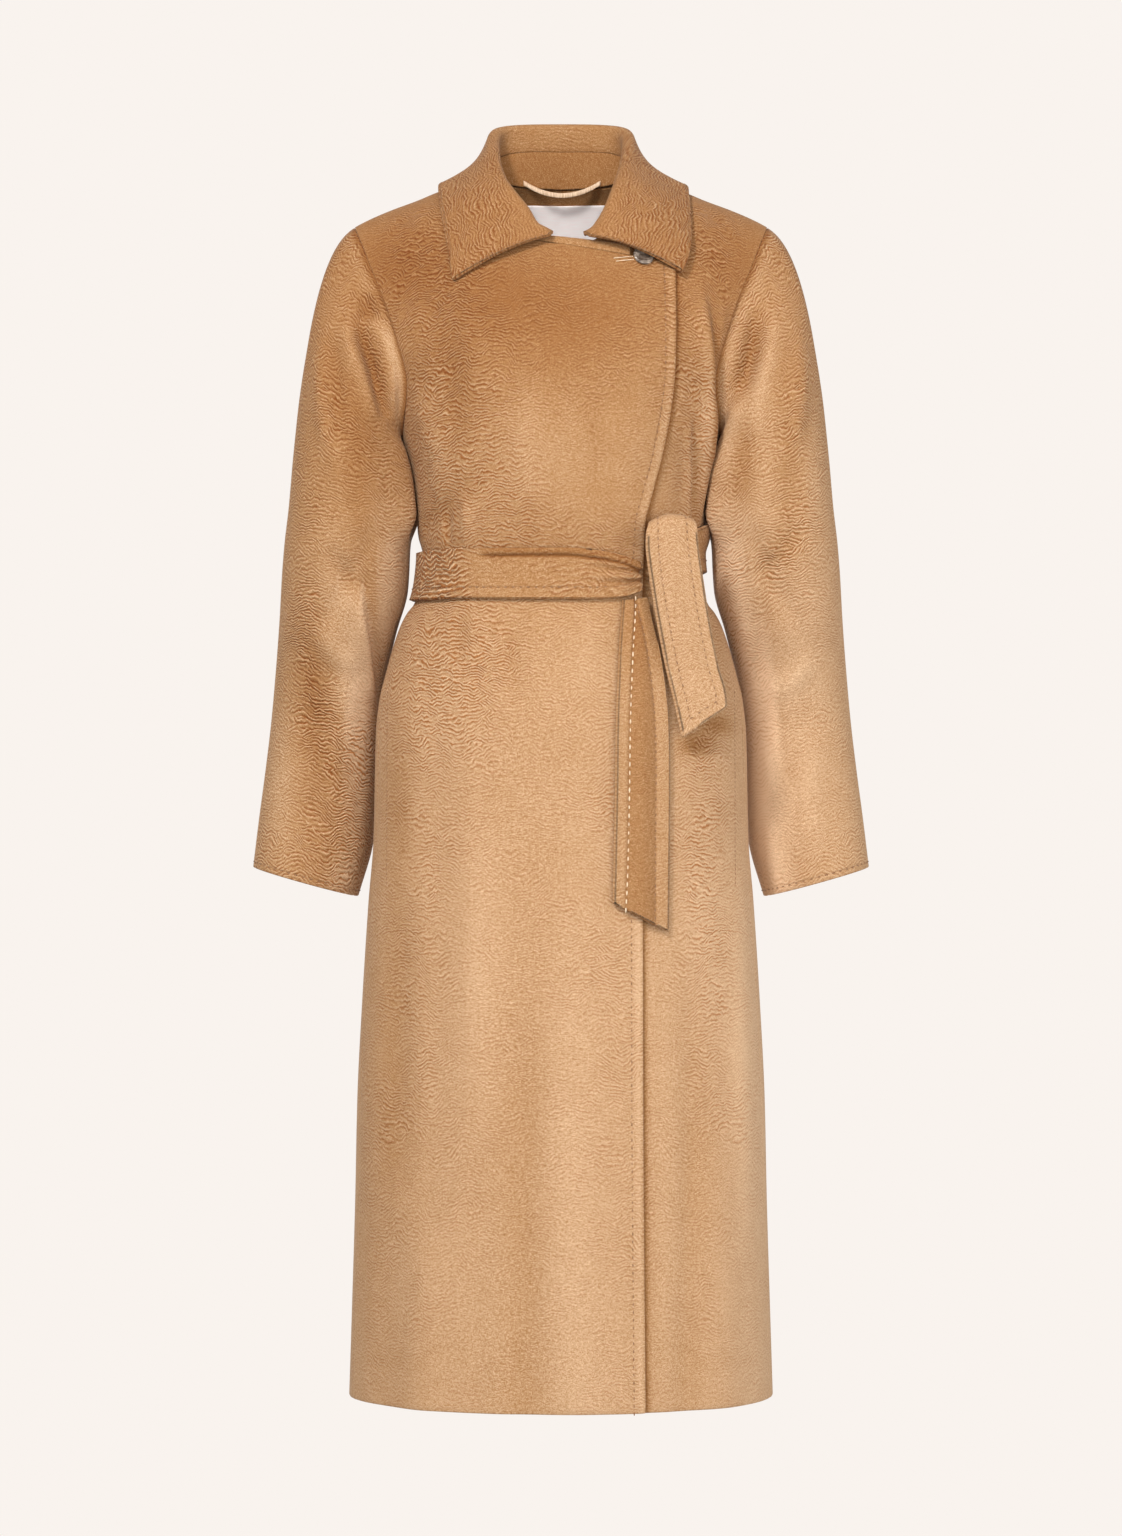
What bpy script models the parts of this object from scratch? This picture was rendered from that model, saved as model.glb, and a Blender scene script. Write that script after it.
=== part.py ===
# Camel wool wrap coat in its worn, hollow form, with its own belt tied at the front.
# Metres, +Z up. The front faces -Y and +X is the wearer's left. The origin is midway between the shoulders.
# Every cloth piece is a wall: a grid of outer points, and the same points moved in by the thickness.
# Angles go round the body: 0 is the centre front, 90 the wearer's left side, 180 the centre back.
import math

import bpy
import numpy as np

# ---- Driving dimensions, metres

CLOTH = 0.0025  # coat cloth
DOUBLED = 0.0045  # two layers: collar leaf and belt
SATIN = 0.0012  # label and hanger loop
FACING = 0.0015  # pocket facings
SEAM = 0.0003  # gap between two sewn pieces
LAP = 0.0045  # how far the outer front stands off where it laps over the inner one
ROUND = 2.2  # power of the body's section: 2 is an ellipse, more is squarer

ARMPIT_Z = -0.225
SHOULDER_X = 0.192  # shoulder point, where the sleeve begins
NECK_X = 0.066  # where the shoulder seam meets the neckline
NECK_FRONT_Z = -0.056
NECK_BACK_Z = 0.011
FRONT_NECK_TURNS = (20, 36, 50)  # columns round the neckline, in degrees from its middle
BACK_NECK_TURNS = (66, 40, 18)
NECK_SEAM_Y = 0.015  # the shoulder seam's place at the neck, running to 0 at the shoulder point
ROLL_DEPTH = 0.20  # height below the shoulder line at which the body has its full depth
ROLL_POWER = 1.6
SIDE_ANGLE = 77.0  # side seams lie 13 degrees forward of the side

OUTER_EDGE_TOP_X = 0.104
OVERLAP_DROP = 0.017  # how far the outer front's top edge drops from the centre to its corner
INNER_EDGE_X = -0.075  # the inner front's hidden edge

# The body's sections: a row for each height, with the half width and the depths before and behind.
BODY_COLUMNS = ("z", "half", "front", "back")
BODY = (
    (-1.115, 0.1970, 0.1520, 0.1500),
    (-1.020, 0.1940, 0.1500, 0.1480),
    (-0.935, 0.1915, 0.1480, 0.1450),
    (-0.840, 0.1895, 0.1455, 0.1425),
    (-0.750, 0.1850, 0.1430, 0.1400),
    (-0.656, 0.1790, 0.1400, 0.1360),
    (-0.600, 0.1745, 0.1375, 0.1320),
    (-0.500, 0.1722, 0.1340, 0.1280),
    (-0.470, 0.1690, 0.1310, 0.1250),
    (-0.446, 0.1632, 0.1275, 0.1210),
    (-0.423, 0.1570, 0.1240, 0.1175),
    (-0.400, 0.1490, 0.1195, 0.1140),
    (-0.388, 0.1425, 0.1155, 0.1110),
    (-0.379, 0.1355, 0.1130, 0.1080),
    (-0.356, 0.1305, 0.1105, 0.1055),
    (-0.334, 0.1288, 0.1105, 0.1050),
    (-0.318, 0.1328, 0.1130, 0.1065),
    (-0.298, 0.1346, 0.1165, 0.1080),
    (-0.260, 0.1395, 0.1210, 0.1100),
    (-0.225, 0.1495, 0.1240, 0.1120),
    (-0.180, 0.1600, 0.1240, 0.1130),
    (-0.140, 0.1840, 0.1215, 0.1130),
    (-0.100, 0.2085, 0.1180, 0.1125),
    (-0.060, 0.2270, 0.1160, 0.1120),
    (-0.030, 0.2384, 0.1150, 0.1120),
    (0.030, 0.2560, 0.1150, 0.1120),
)

# The shoulder line, carried on to the centre: height by distance from the centre.
SHOULDER_COLUMNS = ("x", "z")
SHOULDER = (
    (0.000, 0.0310),
    (0.066, 0.0180),
    (0.089, 0.0114),
    (0.112, 0.0045),
    (0.134, -0.0047),
    (0.1585, -0.0140),
    (0.179, -0.0230),
    (0.192, -0.0300),
    (0.220, -0.0500),
)

# The armhole, from the armpit up to the shoulder point: heights, and angles from the centre front and centre back.
ARMHOLE_COLUMNS = ("front_z", "front_angle", "back_z", "back_angle")
ARMHOLE = (
    (-0.225, 76.94, -0.225, 102.94),
    (-0.208, 69.0, -0.2185, 93.0),
    (-0.188, 63.0, -0.2085, 84.0),
    (-0.166, 57.8, -0.1940, 76.0),
    (-0.144, 53.8, -0.1750, 69.0),
    (-0.121, 51.3, -0.1520, 63.5),
    (-0.098, 50.0, -0.1260, 59.5),
    (-0.074, 50.5, -0.098, 56.5),
    (-0.051, 51.0, -0.064, 54.0),
    (-0.030, 52.0, -0.030, 52.0),
)

# The outer front's edge, seen from the front.
EDGE_COLUMNS = ("z", "x")
OUTER_EDGE = (
    (-1.115, 0.0755),
    (-0.850, 0.0735),
    (-0.600, 0.0730),
    (-0.400, 0.0725),
    (-0.312, 0.0752),
    (-0.283, 0.0815),
    (-0.248, 0.0905),
    (-0.203, 0.0990),
    (-0.168, 0.1025),
    (-0.118, 0.1040),
    (0.030, 0.1040),
)

# Heights of the panels' rows from the hem to the armpit: close at the waist, wide down the skirt.
ROW_HEIGHTS = (
    -1.115, -1.060, -0.995, -0.925, -0.855, -0.785, -0.715, -0.655, -0.605, -0.562, -0.524, -0.494,
    -0.468, -0.444, -0.421, -0.400, -0.388, -0.377, -0.360, -0.343, -0.326, -0.309, -0.290, -0.268,
    -0.246, ARMPIT_Z,
)

# Soft folds in the fronts: ends in the front view, width and height of the ridge (a trough is below 0).
FOLD_COLUMNS = ("x0", "z0", "x1", "z1", "width", "height")
FRONT_FOLDS = (
    (0.136, -0.100, 0.139, -0.190, 0.013, 0.0040),
    (0.139, -0.190, 0.131, -0.305, 0.013, 0.0035),
    (0.119, -0.215, 0.118, -0.300, 0.011, -0.0025),
    (-0.118, -0.960, -0.124, -1.110, 0.020, 0.0040),
    (-0.158, -0.930, -0.166, -1.110, 0.022, -0.0035),
    (-0.075, -0.900, -0.082, -1.110, 0.022, -0.0025),
    (0.145, -0.880, 0.150, -1.110, 0.018, 0.0030),
)
BACK_FOLDS = (
    (0.070, -0.640, 0.086, -1.110, 0.030, -0.0045),
    (-0.052, -0.700, -0.070, -1.110, 0.030, -0.0040),
    (0.012, -0.560, 0.006, -1.110, 0.032, 0.0040),
    (0.100, -0.120, 0.080, -0.300, 0.022, 0.0035),
    (-0.108, -0.130, -0.084, -0.300, 0.022, 0.0030),
)

# The sleeve's rings, from the armpit to the cuff. Its inner side lies behind the hip.
SLEEVE_COLUMNS = ("z", "outer_x", "inner_x", "middle_y", "front", "back", "tilt")
SLEEVE = (
    (-0.225, 0.2455, 0.1468, -0.005, 0.066, 0.068, 0.30),
    (-0.260, 0.2495, 0.1412, -0.003, 0.066, 0.068, 0.22),
    (-0.300, 0.2535, 0.1400, 0.001, 0.066, 0.066, 0.16),
    (-0.330, 0.2575, 0.1408, 0.006, 0.065, 0.065, 0.13),
    (-0.360, 0.2605, 0.1428, 0.015, 0.065, 0.063, 0.12),
    (-0.400, 0.2635, 0.1540, 0.028, 0.064, 0.060, 0.11),
    (-0.446, 0.2680, 0.1650, 0.047, 0.061, 0.060, 0.11),
    (-0.500, 0.2735, 0.1705, 0.058, 0.059, 0.059, 0.12),
    (-0.550, 0.2795, 0.1730, 0.060, 0.058, 0.058, 0.15),
    (-0.590, 0.2845, 0.1765, 0.059, 0.057, 0.057, 0.19),
    (-0.640, 0.2900, 0.1910, 0.056, 0.057, 0.057, 0.277),
)
SLEEVE_ROUND = 2.15
SLEEVE_RINGS = 13
CAP_ROWS = 5  # rows between the armhole and the first ring
SLEEVE_SEAM_ANGLE = 19.0  # the outer seam, forward of the outermost line
UNDERARM_ANGLE = 160.0

# Soft folds in the sleeves: ends as angle round the sleeve and height, width in degrees, height of the ridge.
SLEEVE_FOLD_COLUMNS = ("angle0", "z0", "angle1", "z1", "width", "height")
SLEEVE_FOLDS = (
    (60.0, -0.080, 118.0, -0.230, 11.0, -0.0040),
    (38.0, -0.110, 88.0, -0.290, 12.0, 0.0040),
    (120.0, -0.300, 70.0, -0.430, 11.0, -0.0035),
    (112.0, -0.370, 104.0, -0.560, 13.0, 0.0035),
    (-130.0, -0.330, -60.0, -0.400, 14.0, -0.0040),
    (-120.0, -0.400, -70.0, -0.470, 13.0, 0.0035),
)

# The collar. A row for each station: the middle of the roll and its radius, the outer edge in the front view,
# how far the fall is steered downwards as it leaves the roll, how far it swells over what it lies on,
# and how much of the leaf lies inside the neck.
COLLAR_COLUMNS = ("x", "y", "z", "roll", "edge_x", "edge_z", "droop", "swell", "inside")
RIGHT_WING = (
    (0.0100, -0.0905, -0.0492, 0.0068, 0.0975, -0.0910, 0.00, 0.0040, 0.0030),
    (0.0223, -0.0875, -0.0420, 0.0068, 0.1005, -0.0740, 0.00, 0.0040, 0.0030),
    (0.0341, -0.0780, -0.0245, 0.0065, 0.1035, -0.0570, 0.00, 0.0035, 0.0045),
    (0.0475, -0.0660, -0.0065, 0.0065, 0.1070, -0.0400, 0.00, 0.0035, 0.0080),
    (0.0560, -0.0500, 0.0075, 0.0065, 0.1105, -0.0220, 0.15, 0.0030, 0.0110),
    (0.0612, -0.0300, 0.0235, 0.0065, 0.1125, -0.0060, 0.50, 0.0010, 0.0100),
    (0.0628, -0.0080, 0.0385, 0.0065, 0.1120, 0.0041, 0.80, 0.0000, 0.0130),
)
LEFT_WING = (
    (0.0240, -0.0905, -0.0490, 0.0068, 0.1090, -0.0837, 0.00, 0.0040, 0.0030),
    (0.0333, -0.0875, -0.0430, 0.0068, 0.1145, -0.0700, 0.00, 0.0045, 0.0030),
    (0.0432, -0.0780, -0.0265, 0.0065, 0.1175, -0.0550, 0.00, 0.0045, 0.0040),
    (0.0505, -0.0660, -0.0085, 0.0065, 0.1190, -0.0390, 0.00, 0.0035, 0.0080),
    (0.0555, -0.0500, 0.0065, 0.0065, 0.1190, -0.0220, 0.15, 0.0030, 0.0110),
    (0.0600, -0.0300, 0.0220, 0.0065, 0.1175, -0.0070, 0.50, 0.0010, 0.0100),
    (0.0625, -0.0080, 0.0380, 0.0065, 0.1155, 0.0027, 0.80, 0.0000, 0.0130),
)
COLLAR_BACK = (
    (0.0632, 0.0130, 0.0505, 0.0065, 0.1070, -0.0020, 0.80, 0.0000, 0.0160),
    (0.0600, 0.0320, 0.0600, 0.0065, 0.0900, -0.0050, 0.50, 0.0000, 0.0190),
    (0.0475, 0.0455, 0.0645, 0.0065, 0.0650, -0.0070, 0.25, 0.0000, 0.0200),
    (0.0260, 0.0525, 0.0665, 0.0065, 0.0340, -0.0080, 0.10, 0.0000, 0.0200),
)
COLLAR_CENTRE = (0.0, 0.0550, 0.0670, 0.0065, 0.0, -0.0080, 0.10, 0.0000, 0.0200)
WING_STRAIGHT = {0: 1.0, 1: 0.45}  # how nearly the fall runs straight to its edge, by station from each end
WING_HOLLOW = 0.0060  # how far the wings' lower edges are drawn up
COLLAR_OFF = 0.0012  # gap between the leaf's edge and the coat under it
SHOULDER_ROOM = 0.0014  # more gap where the edge crosses the shoulder's ridge
FALL_ROWS = 4
ROLL_ROWS = 6
STAND_FIRST = 3  # the stand begins at this station, where the roll has risen off the neckline
END_WRAP = 66  # degrees that the leaf goes round the roll where this lies on the neckline
FULL_WRAP_AT = 0.018  # distance from the roll to the neckline from which the leaf heads straight for it
NECK_ENDS = (-0.010, 0.023)  # where the collar's two ends meet the neckline

# The belt round the waist, by angle from the centre front: height of its middle and half its width.
BELT_COLUMNS = ("angle", "z", "half")
BELT = (
    (-297.0, -0.3330, 0.0200),
    (-283.0, -0.3300, 0.0220),
    (-270.0, -0.3290, 0.0230),
    (-225.0, -0.3330, 0.0250),
    (-180.0, -0.3430, 0.0250),
    (-135.0, -0.3520, 0.0250),
    (-90.0, -0.3560, 0.0235),
    (-45.0, -0.3565, 0.0250),
    (0.0, -0.3565, 0.0255),
    (12.0, -0.3580, 0.0240),
    (22.0, -0.3590, 0.0205),
    (30.0, -0.3595, 0.0140),
)
BELT_STEPS = 44
BELT_OFF = 0.0016

KNOT_MIDDLE = (0.0985, -0.1040, -0.3440)
KNOT_HALF = (0.0200, 0.0070, 0.0330)  # along X, depth and height
KNOT_TURN = 15.0  # degrees that the knot and the short end turn towards the wearer's left

# The short belt end: over the knot from behind, then down. Left and right edges of its outer face.
SHORT_COLUMNS = ("left_x", "left_y", "left_z", "right_x", "right_y", "right_z")
SHORT_TAIL = (
    (0.0800, -0.0947, -0.3240, 0.1200, -0.0832, -0.3230),
    (0.0795, -0.0947, -0.3130, 0.1215, -0.0832, -0.3110),
    (0.0790, -0.0985, -0.3060, 0.1220, -0.0870, -0.3035),
    (0.0785, -0.1080, -0.3030, 0.1230, -0.0965, -0.3005),
    (0.0780, -0.1175, -0.3060, 0.1240, -0.1050, -0.3040),
    (0.0775, -0.1215, -0.3140, 0.1250, -0.1085, -0.3130),
    (0.0775, -0.1225, -0.3340, 0.1265, -0.1090, -0.3340),
    (0.0815, -0.1225, -0.3650, 0.1315, -0.1080, -0.3700),
    (0.0880, -0.1215, -0.4040, 0.1375, -0.1065, -0.4070),
    (0.0950, -0.1215, -0.4400, 0.1445, -0.1060, -0.4405),
    (0.1025, -0.1230, -0.4710, 0.1505, -0.1075, -0.4600),
    (0.1100, -0.1250, -0.5060, 0.1520, -0.1090, -0.4775),
)
SHORT_ARCH = 0.0075  # how far the sides of the loop's top lie below its middle
SHORT_ARCH_LOW = -0.345  # height below which they no longer do
SHORT_BEHIND = 1  # rows at its hidden end, which stay level
# The long belt end, which lies on the fronts: left and right edges in the front view.
LONG_COLUMNS = ("left_x", "left_z", "right_x", "right_z")
LONG_TAIL = (
    (0.0562, -0.3800, 0.0800, -0.3770),
    (0.0545, -0.4000, 0.0850, -0.4000),
    (0.0526, -0.4270, 0.0915, -0.4270),
    (0.0510, -0.4600, 0.0965, -0.4600),
    (0.0497, -0.4940, 0.0995, -0.4940),
    (0.0490, -0.5480, 0.1000, -0.5480),
    (0.0480, -0.6000, 0.0995, -0.6050),
    (0.0472, -0.6350, 0.0990, -0.6500),
    (0.0468, -0.6550, 0.0985, -0.6820),
)
LONG_OFF = 0.0030  # gap between the long end and the coat
TAIL_STEPS = 4

BAND_TOP_Z = -0.0480

LABEL_X = (-0.0360, 0.0425)
LABEL_Z = (-0.0010, -0.0400)
LABEL_OFF = 0.0007  # gap between the label and the back's true curve; its flat facets come nearer

LOOP_HALF = 0.0360
LOOP_END_Z = 0.0160
LOOP_SAG = 0.0115
LOOP_WIDTH = 0.0050
LOOP_END_Y = 0.0352
LOOP_MIDDLE_Y = 0.0385
LOOP_STEPS = 12

BUTTON_X = 0.0745
BUTTON_Z = -0.0673
BUTTON_RADIUS = 0.0097
BUTTON_THICK = 0.0034
BUTTON_SIDES = 24

POCKET_Z = (-0.446, -0.575)
POCKET_HALF_ANGLE = 8.0
POCKET_STEPS = 8
POCKET_OFF = 0.0014
GAPE = {1: 0.0040, -1: 0.0015}  # how far each pocket stands open at its middle, left and right

CAMEL = (0.545, 0.315, 0.130, 1.0)
PALE_SATIN = (0.780, 0.620, 0.400, 1.0)
WHITE_SATIN = (0.860, 0.840, 0.810, 1.0)
HORN = (0.130, 0.090, 0.065, 1.0)


# ---- Curves and tables


def column(names, rows, name):
    return np.array([row[names.index(name)] for row in rows])


def smooth(xs, ys, x):
    # A cubic through the table's points that never overshoots them (harmonic-mean slopes).
    if xs[0] > xs[-1]:
        xs, ys = xs[::-1], ys[::-1]
    step = np.diff(xs)
    slope = np.diff(ys) / step
    tangent = np.zeros(len(xs))
    tangent[0], tangent[-1] = slope[0], slope[-1]
    for i in range(1, len(xs) - 1):
        if slope[i - 1] * slope[i] > 0:
            tangent[i] = 2 * slope[i - 1] * slope[i] / (slope[i - 1] + slope[i])
    x = min(max(x, xs[0]), xs[-1])
    i = min(int(np.searchsorted(xs, x, side="right")) - 1, len(xs) - 2)
    t = (x - xs[i]) / step[i]
    start = (1 + 2 * t) * (1 - t) ** 2 * ys[i] + t * (1 - t) ** 2 * step[i] * tangent[i]
    end = t * t * (3 - 2 * t) * ys[i + 1] + t * t * (t - 1) * step[i] * tangent[i + 1]
    return float(start + end)


def body(name, z):
    return smooth(column(BODY_COLUMNS, BODY, "z"), column(BODY_COLUMNS, BODY, name), z)


def shoulder_z(x):
    xs = column(SHOULDER_COLUMNS, SHOULDER, "x")
    return smooth(xs, column(SHOULDER_COLUMNS, SHOULDER, "z"), abs(x))


def ramp(value, low, high):
    t = min(max((value - low) / (high - low), 0.0), 1.0)
    return t * t * (3 - 2 * t)


def unit(vector):
    return vector / np.linalg.norm(vector)


def signed_power(value, power):
    return math.copysign(abs(value) ** power, value)


def skin(angle, z):
    # The point of the body's surface at an angle and a height.
    turn = math.radians(angle)
    x = body("half", z) * signed_power(math.sin(turn), 2 / ROUND)
    facing = signed_power(math.cos(turn), 2 / ROUND)
    depth = body("front" if facing > 0 else "back", z)
    fraction = min(max((shoulder_z(x) - z) / ROLL_DEPTH, 0.0), 1.0)
    full = math.sqrt(1 - (1 - fraction) ** ROLL_POWER)
    seam_y = NECK_SEAM_Y * (1 - min(abs(x) / SHOULDER_X, 1.0))
    return np.array([x, seam_y * (1 - full) - depth * facing * full, z])


def skin_normal(angle, z):
    turn = 0.05
    rise = 0.0002
    across = skin(angle + turn, z) - skin(angle - turn, z)
    up = skin(angle, z) - skin(angle, z - rise)
    return unit(np.cross(across, up))


def angle_of(x, z, back=False):
    share = min(abs(x) / body("half", z), 1.0)
    turn = math.degrees(math.asin(share ** (ROUND / 2)))
    turn = math.copysign(turn, x)
    return 180 - turn if back else turn


def lap(x, z):
    # The outer front's distance from the body's surface, where the inner front lies under it.
    return LAP * ramp(x, -0.120, -0.080) * ramp(-z, 0.032, 0.060)


def fold(point, rows):
    total = 0.0
    for x0, z0, x1, z1, width, height in rows:
        start = np.array([x0, z0])
        run = np.array([x1, z1]) - start
        place = np.array([point[0], point[2]]) - start
        t = min(max(float(place @ run) / float(run @ run), 0.0), 1.0)
        distance = np.linalg.norm(place - t * run)
        taper = 1.0 if z1 < -1.1 and t > 0.5 else min(4 * t * (1 - t) + 0.25, 1.0)
        total += height * taper * math.exp(-((distance / width) ** 2))
    return total


# ---- Making solids


def material(name, colour, roughness, sheen=0.0):
    made = bpy.data.materials.new(name)
    made.use_nodes = True
    shader = made.node_tree.nodes["Principled BSDF"]
    shader.inputs["Base Color"].default_value = colour
    shader.inputs["Roughness"].default_value = roughness
    shader.inputs["Metallic"].default_value = 0.0
    shader.inputs["Sheen Weight"].default_value = sheen
    return made


def add_object(name, points, faces, surface):
    mesh = bpy.data.meshes.new(name)
    mesh.from_pydata([tuple(map(float, p)) for p in points], [], faces)
    mesh.materials.append(surface)
    mesh.shade_smooth()
    mesh.set_sharp_from_angle(angle=math.radians(50))
    made = bpy.data.objects.new(name, mesh)
    bpy.context.scene.collection.objects.link(made)
    return made


def grid_normals(grid):
    across = np.gradient(grid, axis=1)
    down = np.gradient(grid, axis=0)
    normals = np.cross(across, down)
    return normals / np.linalg.norm(normals, axis=2, keepdims=True)


def wall(name, grid, normals, thickness, surface):
    # A closed wall from a grid of outer points and their outward normals.
    grid = np.array(grid)
    normals = np.array(normals)
    rows, columns = grid.shape[:2]
    inner = grid - normals * thickness
    points = np.concatenate([grid.reshape(-1, 3), inner.reshape(-1, 3)])
    count = rows * columns
    faces = []
    for r in range(rows - 1):
        for c in range(columns - 1):
            a = r * columns + c
            b, c, d = a + 1, a + columns + 1, a + columns
            if np.linalg.norm(points[a] - points[c]) <= np.linalg.norm(points[b] - points[d]):
                halves = ((a, b, c), (a, c, d))
            else:
                halves = ((a, b, d), (b, c, d))
            for face in halves:
                faces.append(face)
                faces.append(tuple(count + i for i in reversed(face)))
    rim = [c for c in range(columns)]
    rim += [r * columns + columns - 1 for r in range(1, rows)]
    rim += [(rows - 1) * columns + c for c in range(columns - 2, -1, -1)]
    rim += [r * columns for r in range(rows - 2, 0, -1)]
    for a, b in zip(rim, rim[1:] + rim[:1]):
        faces.append((b, a, count + a, count + b))
    facing = np.sum(grid_normals(grid) * normals)
    if facing < 0:
        faces = [tuple(reversed(face)) for face in faces]
    return add_object(name, points, faces, surface)


# ---- Fronts and back


def armhole(name):
    return column(ARMHOLE_COLUMNS, ARMHOLE, name)


def rises(side_name):
    # How far each upper row has risen from the armpit, as a share, at the centre and at the armhole.
    heights = armhole(side_name + "_z")
    at_armhole = (heights - heights[0]) / (heights[-1] - heights[0])
    steps = np.linspace(0, 1, len(heights))
    at_centre = 0.5 * steps + 0.5 * np.sin(steps * math.pi / 2)
    return at_centre, at_armhole


def front_neck_z(x, centre_z):
    dip = math.sqrt(max(1 - (x / NECK_X) ** 2, 0.0))
    return shoulder_z(NECK_X) - (shoulder_z(NECK_X) - centre_z) * dip


def back_neck_z(x):
    dip = math.sqrt(max(1 - (x / NECK_X) ** 2, 0.0))
    return shoulder_z(NECK_X) - (shoulder_z(NECK_X) - NECK_BACK_Z) * dip


def shoulder_tops(side, steps):
    # Points along the shoulder seam, from the neck outwards, at even angles round the body.
    first = angle_of(NECK_X, shoulder_z(NECK_X))
    last = angle_of(SHOULDER_X, shoulder_z(SHOULDER_X))
    tops = []
    for angle in np.linspace(first, last, steps + 1):
        x = NECK_X
        for _ in range(40):
            x = body("half", shoulder_z(x)) * math.sin(math.radians(angle)) ** (2 / ROUND)
        tops.append((side * x, shoulder_z(x)))
    tops[-1] = (side * SHOULDER_X, shoulder_z(SHOULDER_X))
    return tops


def overlap_z(x, centre_z):
    return centre_z - OVERLAP_DROP * abs(x) / OUTER_EDGE_TOP_X


def front_tops(side, edge_x, centre_z):
    # The front panel's top edge: overlap, neckline, then shoulder seam.
    overlap = [(x, overlap_z(x, centre_z)) for x in np.linspace(edge_x, 0, 6)]
    turns = np.radians(FRONT_NECK_TURNS)
    neck = [(side * NECK_X * math.sin(t), front_neck_z(NECK_X * math.sin(t), centre_z)) for t in turns]
    return overlap + neck + shoulder_tops(side, 7)


def outer_edge_x(z):
    return smooth(column(EDGE_COLUMNS, OUTER_EDGE, "z"), column(EDGE_COLUMNS, OUTER_EDGE, "x"), z)


def inner_edge_x(z):
    return INNER_EDGE_X


def gape(side, z):
    # How far the pocket's seam stands open, as degrees round the body.
    low, high = POCKET_Z[1] + 0.010, POCKET_Z[0] - 0.030
    share = (z - low) / (high - low)
    if not 0 < share < 1:
        return 0.0
    return math.degrees(GAPE[side] * math.sin(math.pi * share) / body("half", z))


def front_grid(side, edge_x, centre_z, lifted):
    tops = front_tops(side, edge_x(NECK_FRONT_Z), centre_z)
    seam = side * (SIDE_ANGLE - 0.06)
    last = side * armhole("front_angle")[-1]
    shares = []
    for x, z in tops:
        edge = angle_of(edge_x(z), z)
        shares.append((angle_of(x, z) - edge) / (last - edge))
    shares[0], shares[-1] = 0.0, 1.0
    places = []
    for z in ROW_HEIGHTS[:-1]:
        edge = angle_of(edge_x(z), z)
        places.append([(edge + (seam - side * gape(side, z) - edge) * u, z, u) for u in shares])
    at_centre, at_armhole = rises("front")
    for k, arm_angle in enumerate(armhole("front_angle")):
        row = []
        for (x, top_z), u in zip(tops, shares):
            rise = at_centre[k] + (at_armhole[k] - at_centre[k]) * u * u
            z = ARMPIT_Z + (top_z - ARMPIT_Z) * rise
            edge = angle_of(edge_x(z), z)
            row.append((edge + (side * arm_angle - edge) * u, z, u))
        places.append(row)
    return raise_grid(places, "front", lifted, FRONT_FOLDS)


def back_grid():
    left = shoulder_tops(1, 8)[::-1]
    turns = np.radians(BACK_NECK_TURNS)
    neck = [(NECK_X * math.sin(t), back_neck_z(NECK_X * math.sin(t))) for t in turns]
    half = left + neck
    tops = half + [(0.0, NECK_BACK_Z)] + [(-x, z) for x, z in half[::-1]]
    last = armhole("back_angle")[-1]
    shares = [(180 - angle_of(x, z, back=True)) / last for x, z in tops]
    shares[0], shares[-1] = 1.0, -1.0
    seam = 180 - SIDE_ANGLE - 0.06
    places = [[(180 - seam * u, z, u) for u in shares] for z in ROW_HEIGHTS[:-1]]
    at_centre, at_armhole = rises("back")
    for k, arm_angle in enumerate(armhole("back_angle")):
        row = []
        for (x, top_z), u in zip(tops, shares):
            rise = at_centre[k] + (at_armhole[k] - at_centre[k]) * u * u
            row.append((180 - arm_angle * u, ARMPIT_Z + (top_z - ARMPIT_Z) * rise, u))
        places.append(row)
    return raise_grid(places, "back", False, BACK_FOLDS)


def raise_grid(places, side_name, lifted, folds):
    # Turns angles and heights into outer points and normals, with the lap and the folds.
    shift = SEAM / 2 * (-1 if side_name == "front" else 1)
    grid = []
    normals = []
    for row in places:
        points = []
        outward = []
        for angle, z, share in row:
            normal = skin_normal(angle, z)
            point = skin(angle, z)
            on_shoulder = z > ARMPIT_Z and shoulder_z(point[0]) - z < 1e-4
            if on_shoulder:
                normal = unit(normal * np.array([1.0, 0.0, 1.0]))
                point[1] += shift
            out = fold(point, folds) * ramp(1 - abs(share), 0.0, 0.05)
            if lifted:
                out += lap(point[0], z)
            points.append(point + normal * out)
            outward.append(normal)
        grid.append(points)
        normals.append(outward)
    return np.array(grid), np.array(normals)


# ---- Sleeves


def armhole_loop():
    # Points round the left armhole, the body's normals there, and the direction in which the sleeve leaves.
    front = [(a, z) for a, z in zip(armhole("front_angle"), armhole("front_z"))][::-1]
    back = [(180 - a, z) for a, z in zip(armhole("back_angle"), armhole("back_z"))]
    places = front + back[1:-1]
    points = np.array([skin(angle, z) for angle, z in places])
    normals = np.array([skin_normal(angle, z) for angle, z in places])
    normals[0] = unit(normals[0] * np.array([1.0, 0.0, 1.0]))
    leaving = []
    for i, (point, normal) in enumerate(zip(points, normals)):
        run = points[(i + 1) % len(points)] - points[i - 1]
        away = unit(np.cross(run, normal))
        if away @ np.array([1.0, 0.0, 1.0]) < 0:
            away = -away
        upward = max(away[2], 0.0)
        leaving.append(unit(away + upward * normal - upward * np.array([0.0, 0.0, 1.0])))
    return points, np.array(leaving)


def sleeve_angles():
    steps = len(ARMHOLE) - 1
    front = np.linspace(SLEEVE_SEAM_ANGLE, UNDERARM_ANGLE, steps + 1)
    back = np.linspace(UNDERARM_ANGLE, SLEEVE_SEAM_ANGLE + 360, steps + 1)
    return np.concatenate([front, back[1:-1]])


def sleeve_value(name, z):
    zs = column(SLEEVE_COLUMNS, SLEEVE, "z")
    return smooth(zs, column(SLEEVE_COLUMNS, SLEEVE, name), z)


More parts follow.
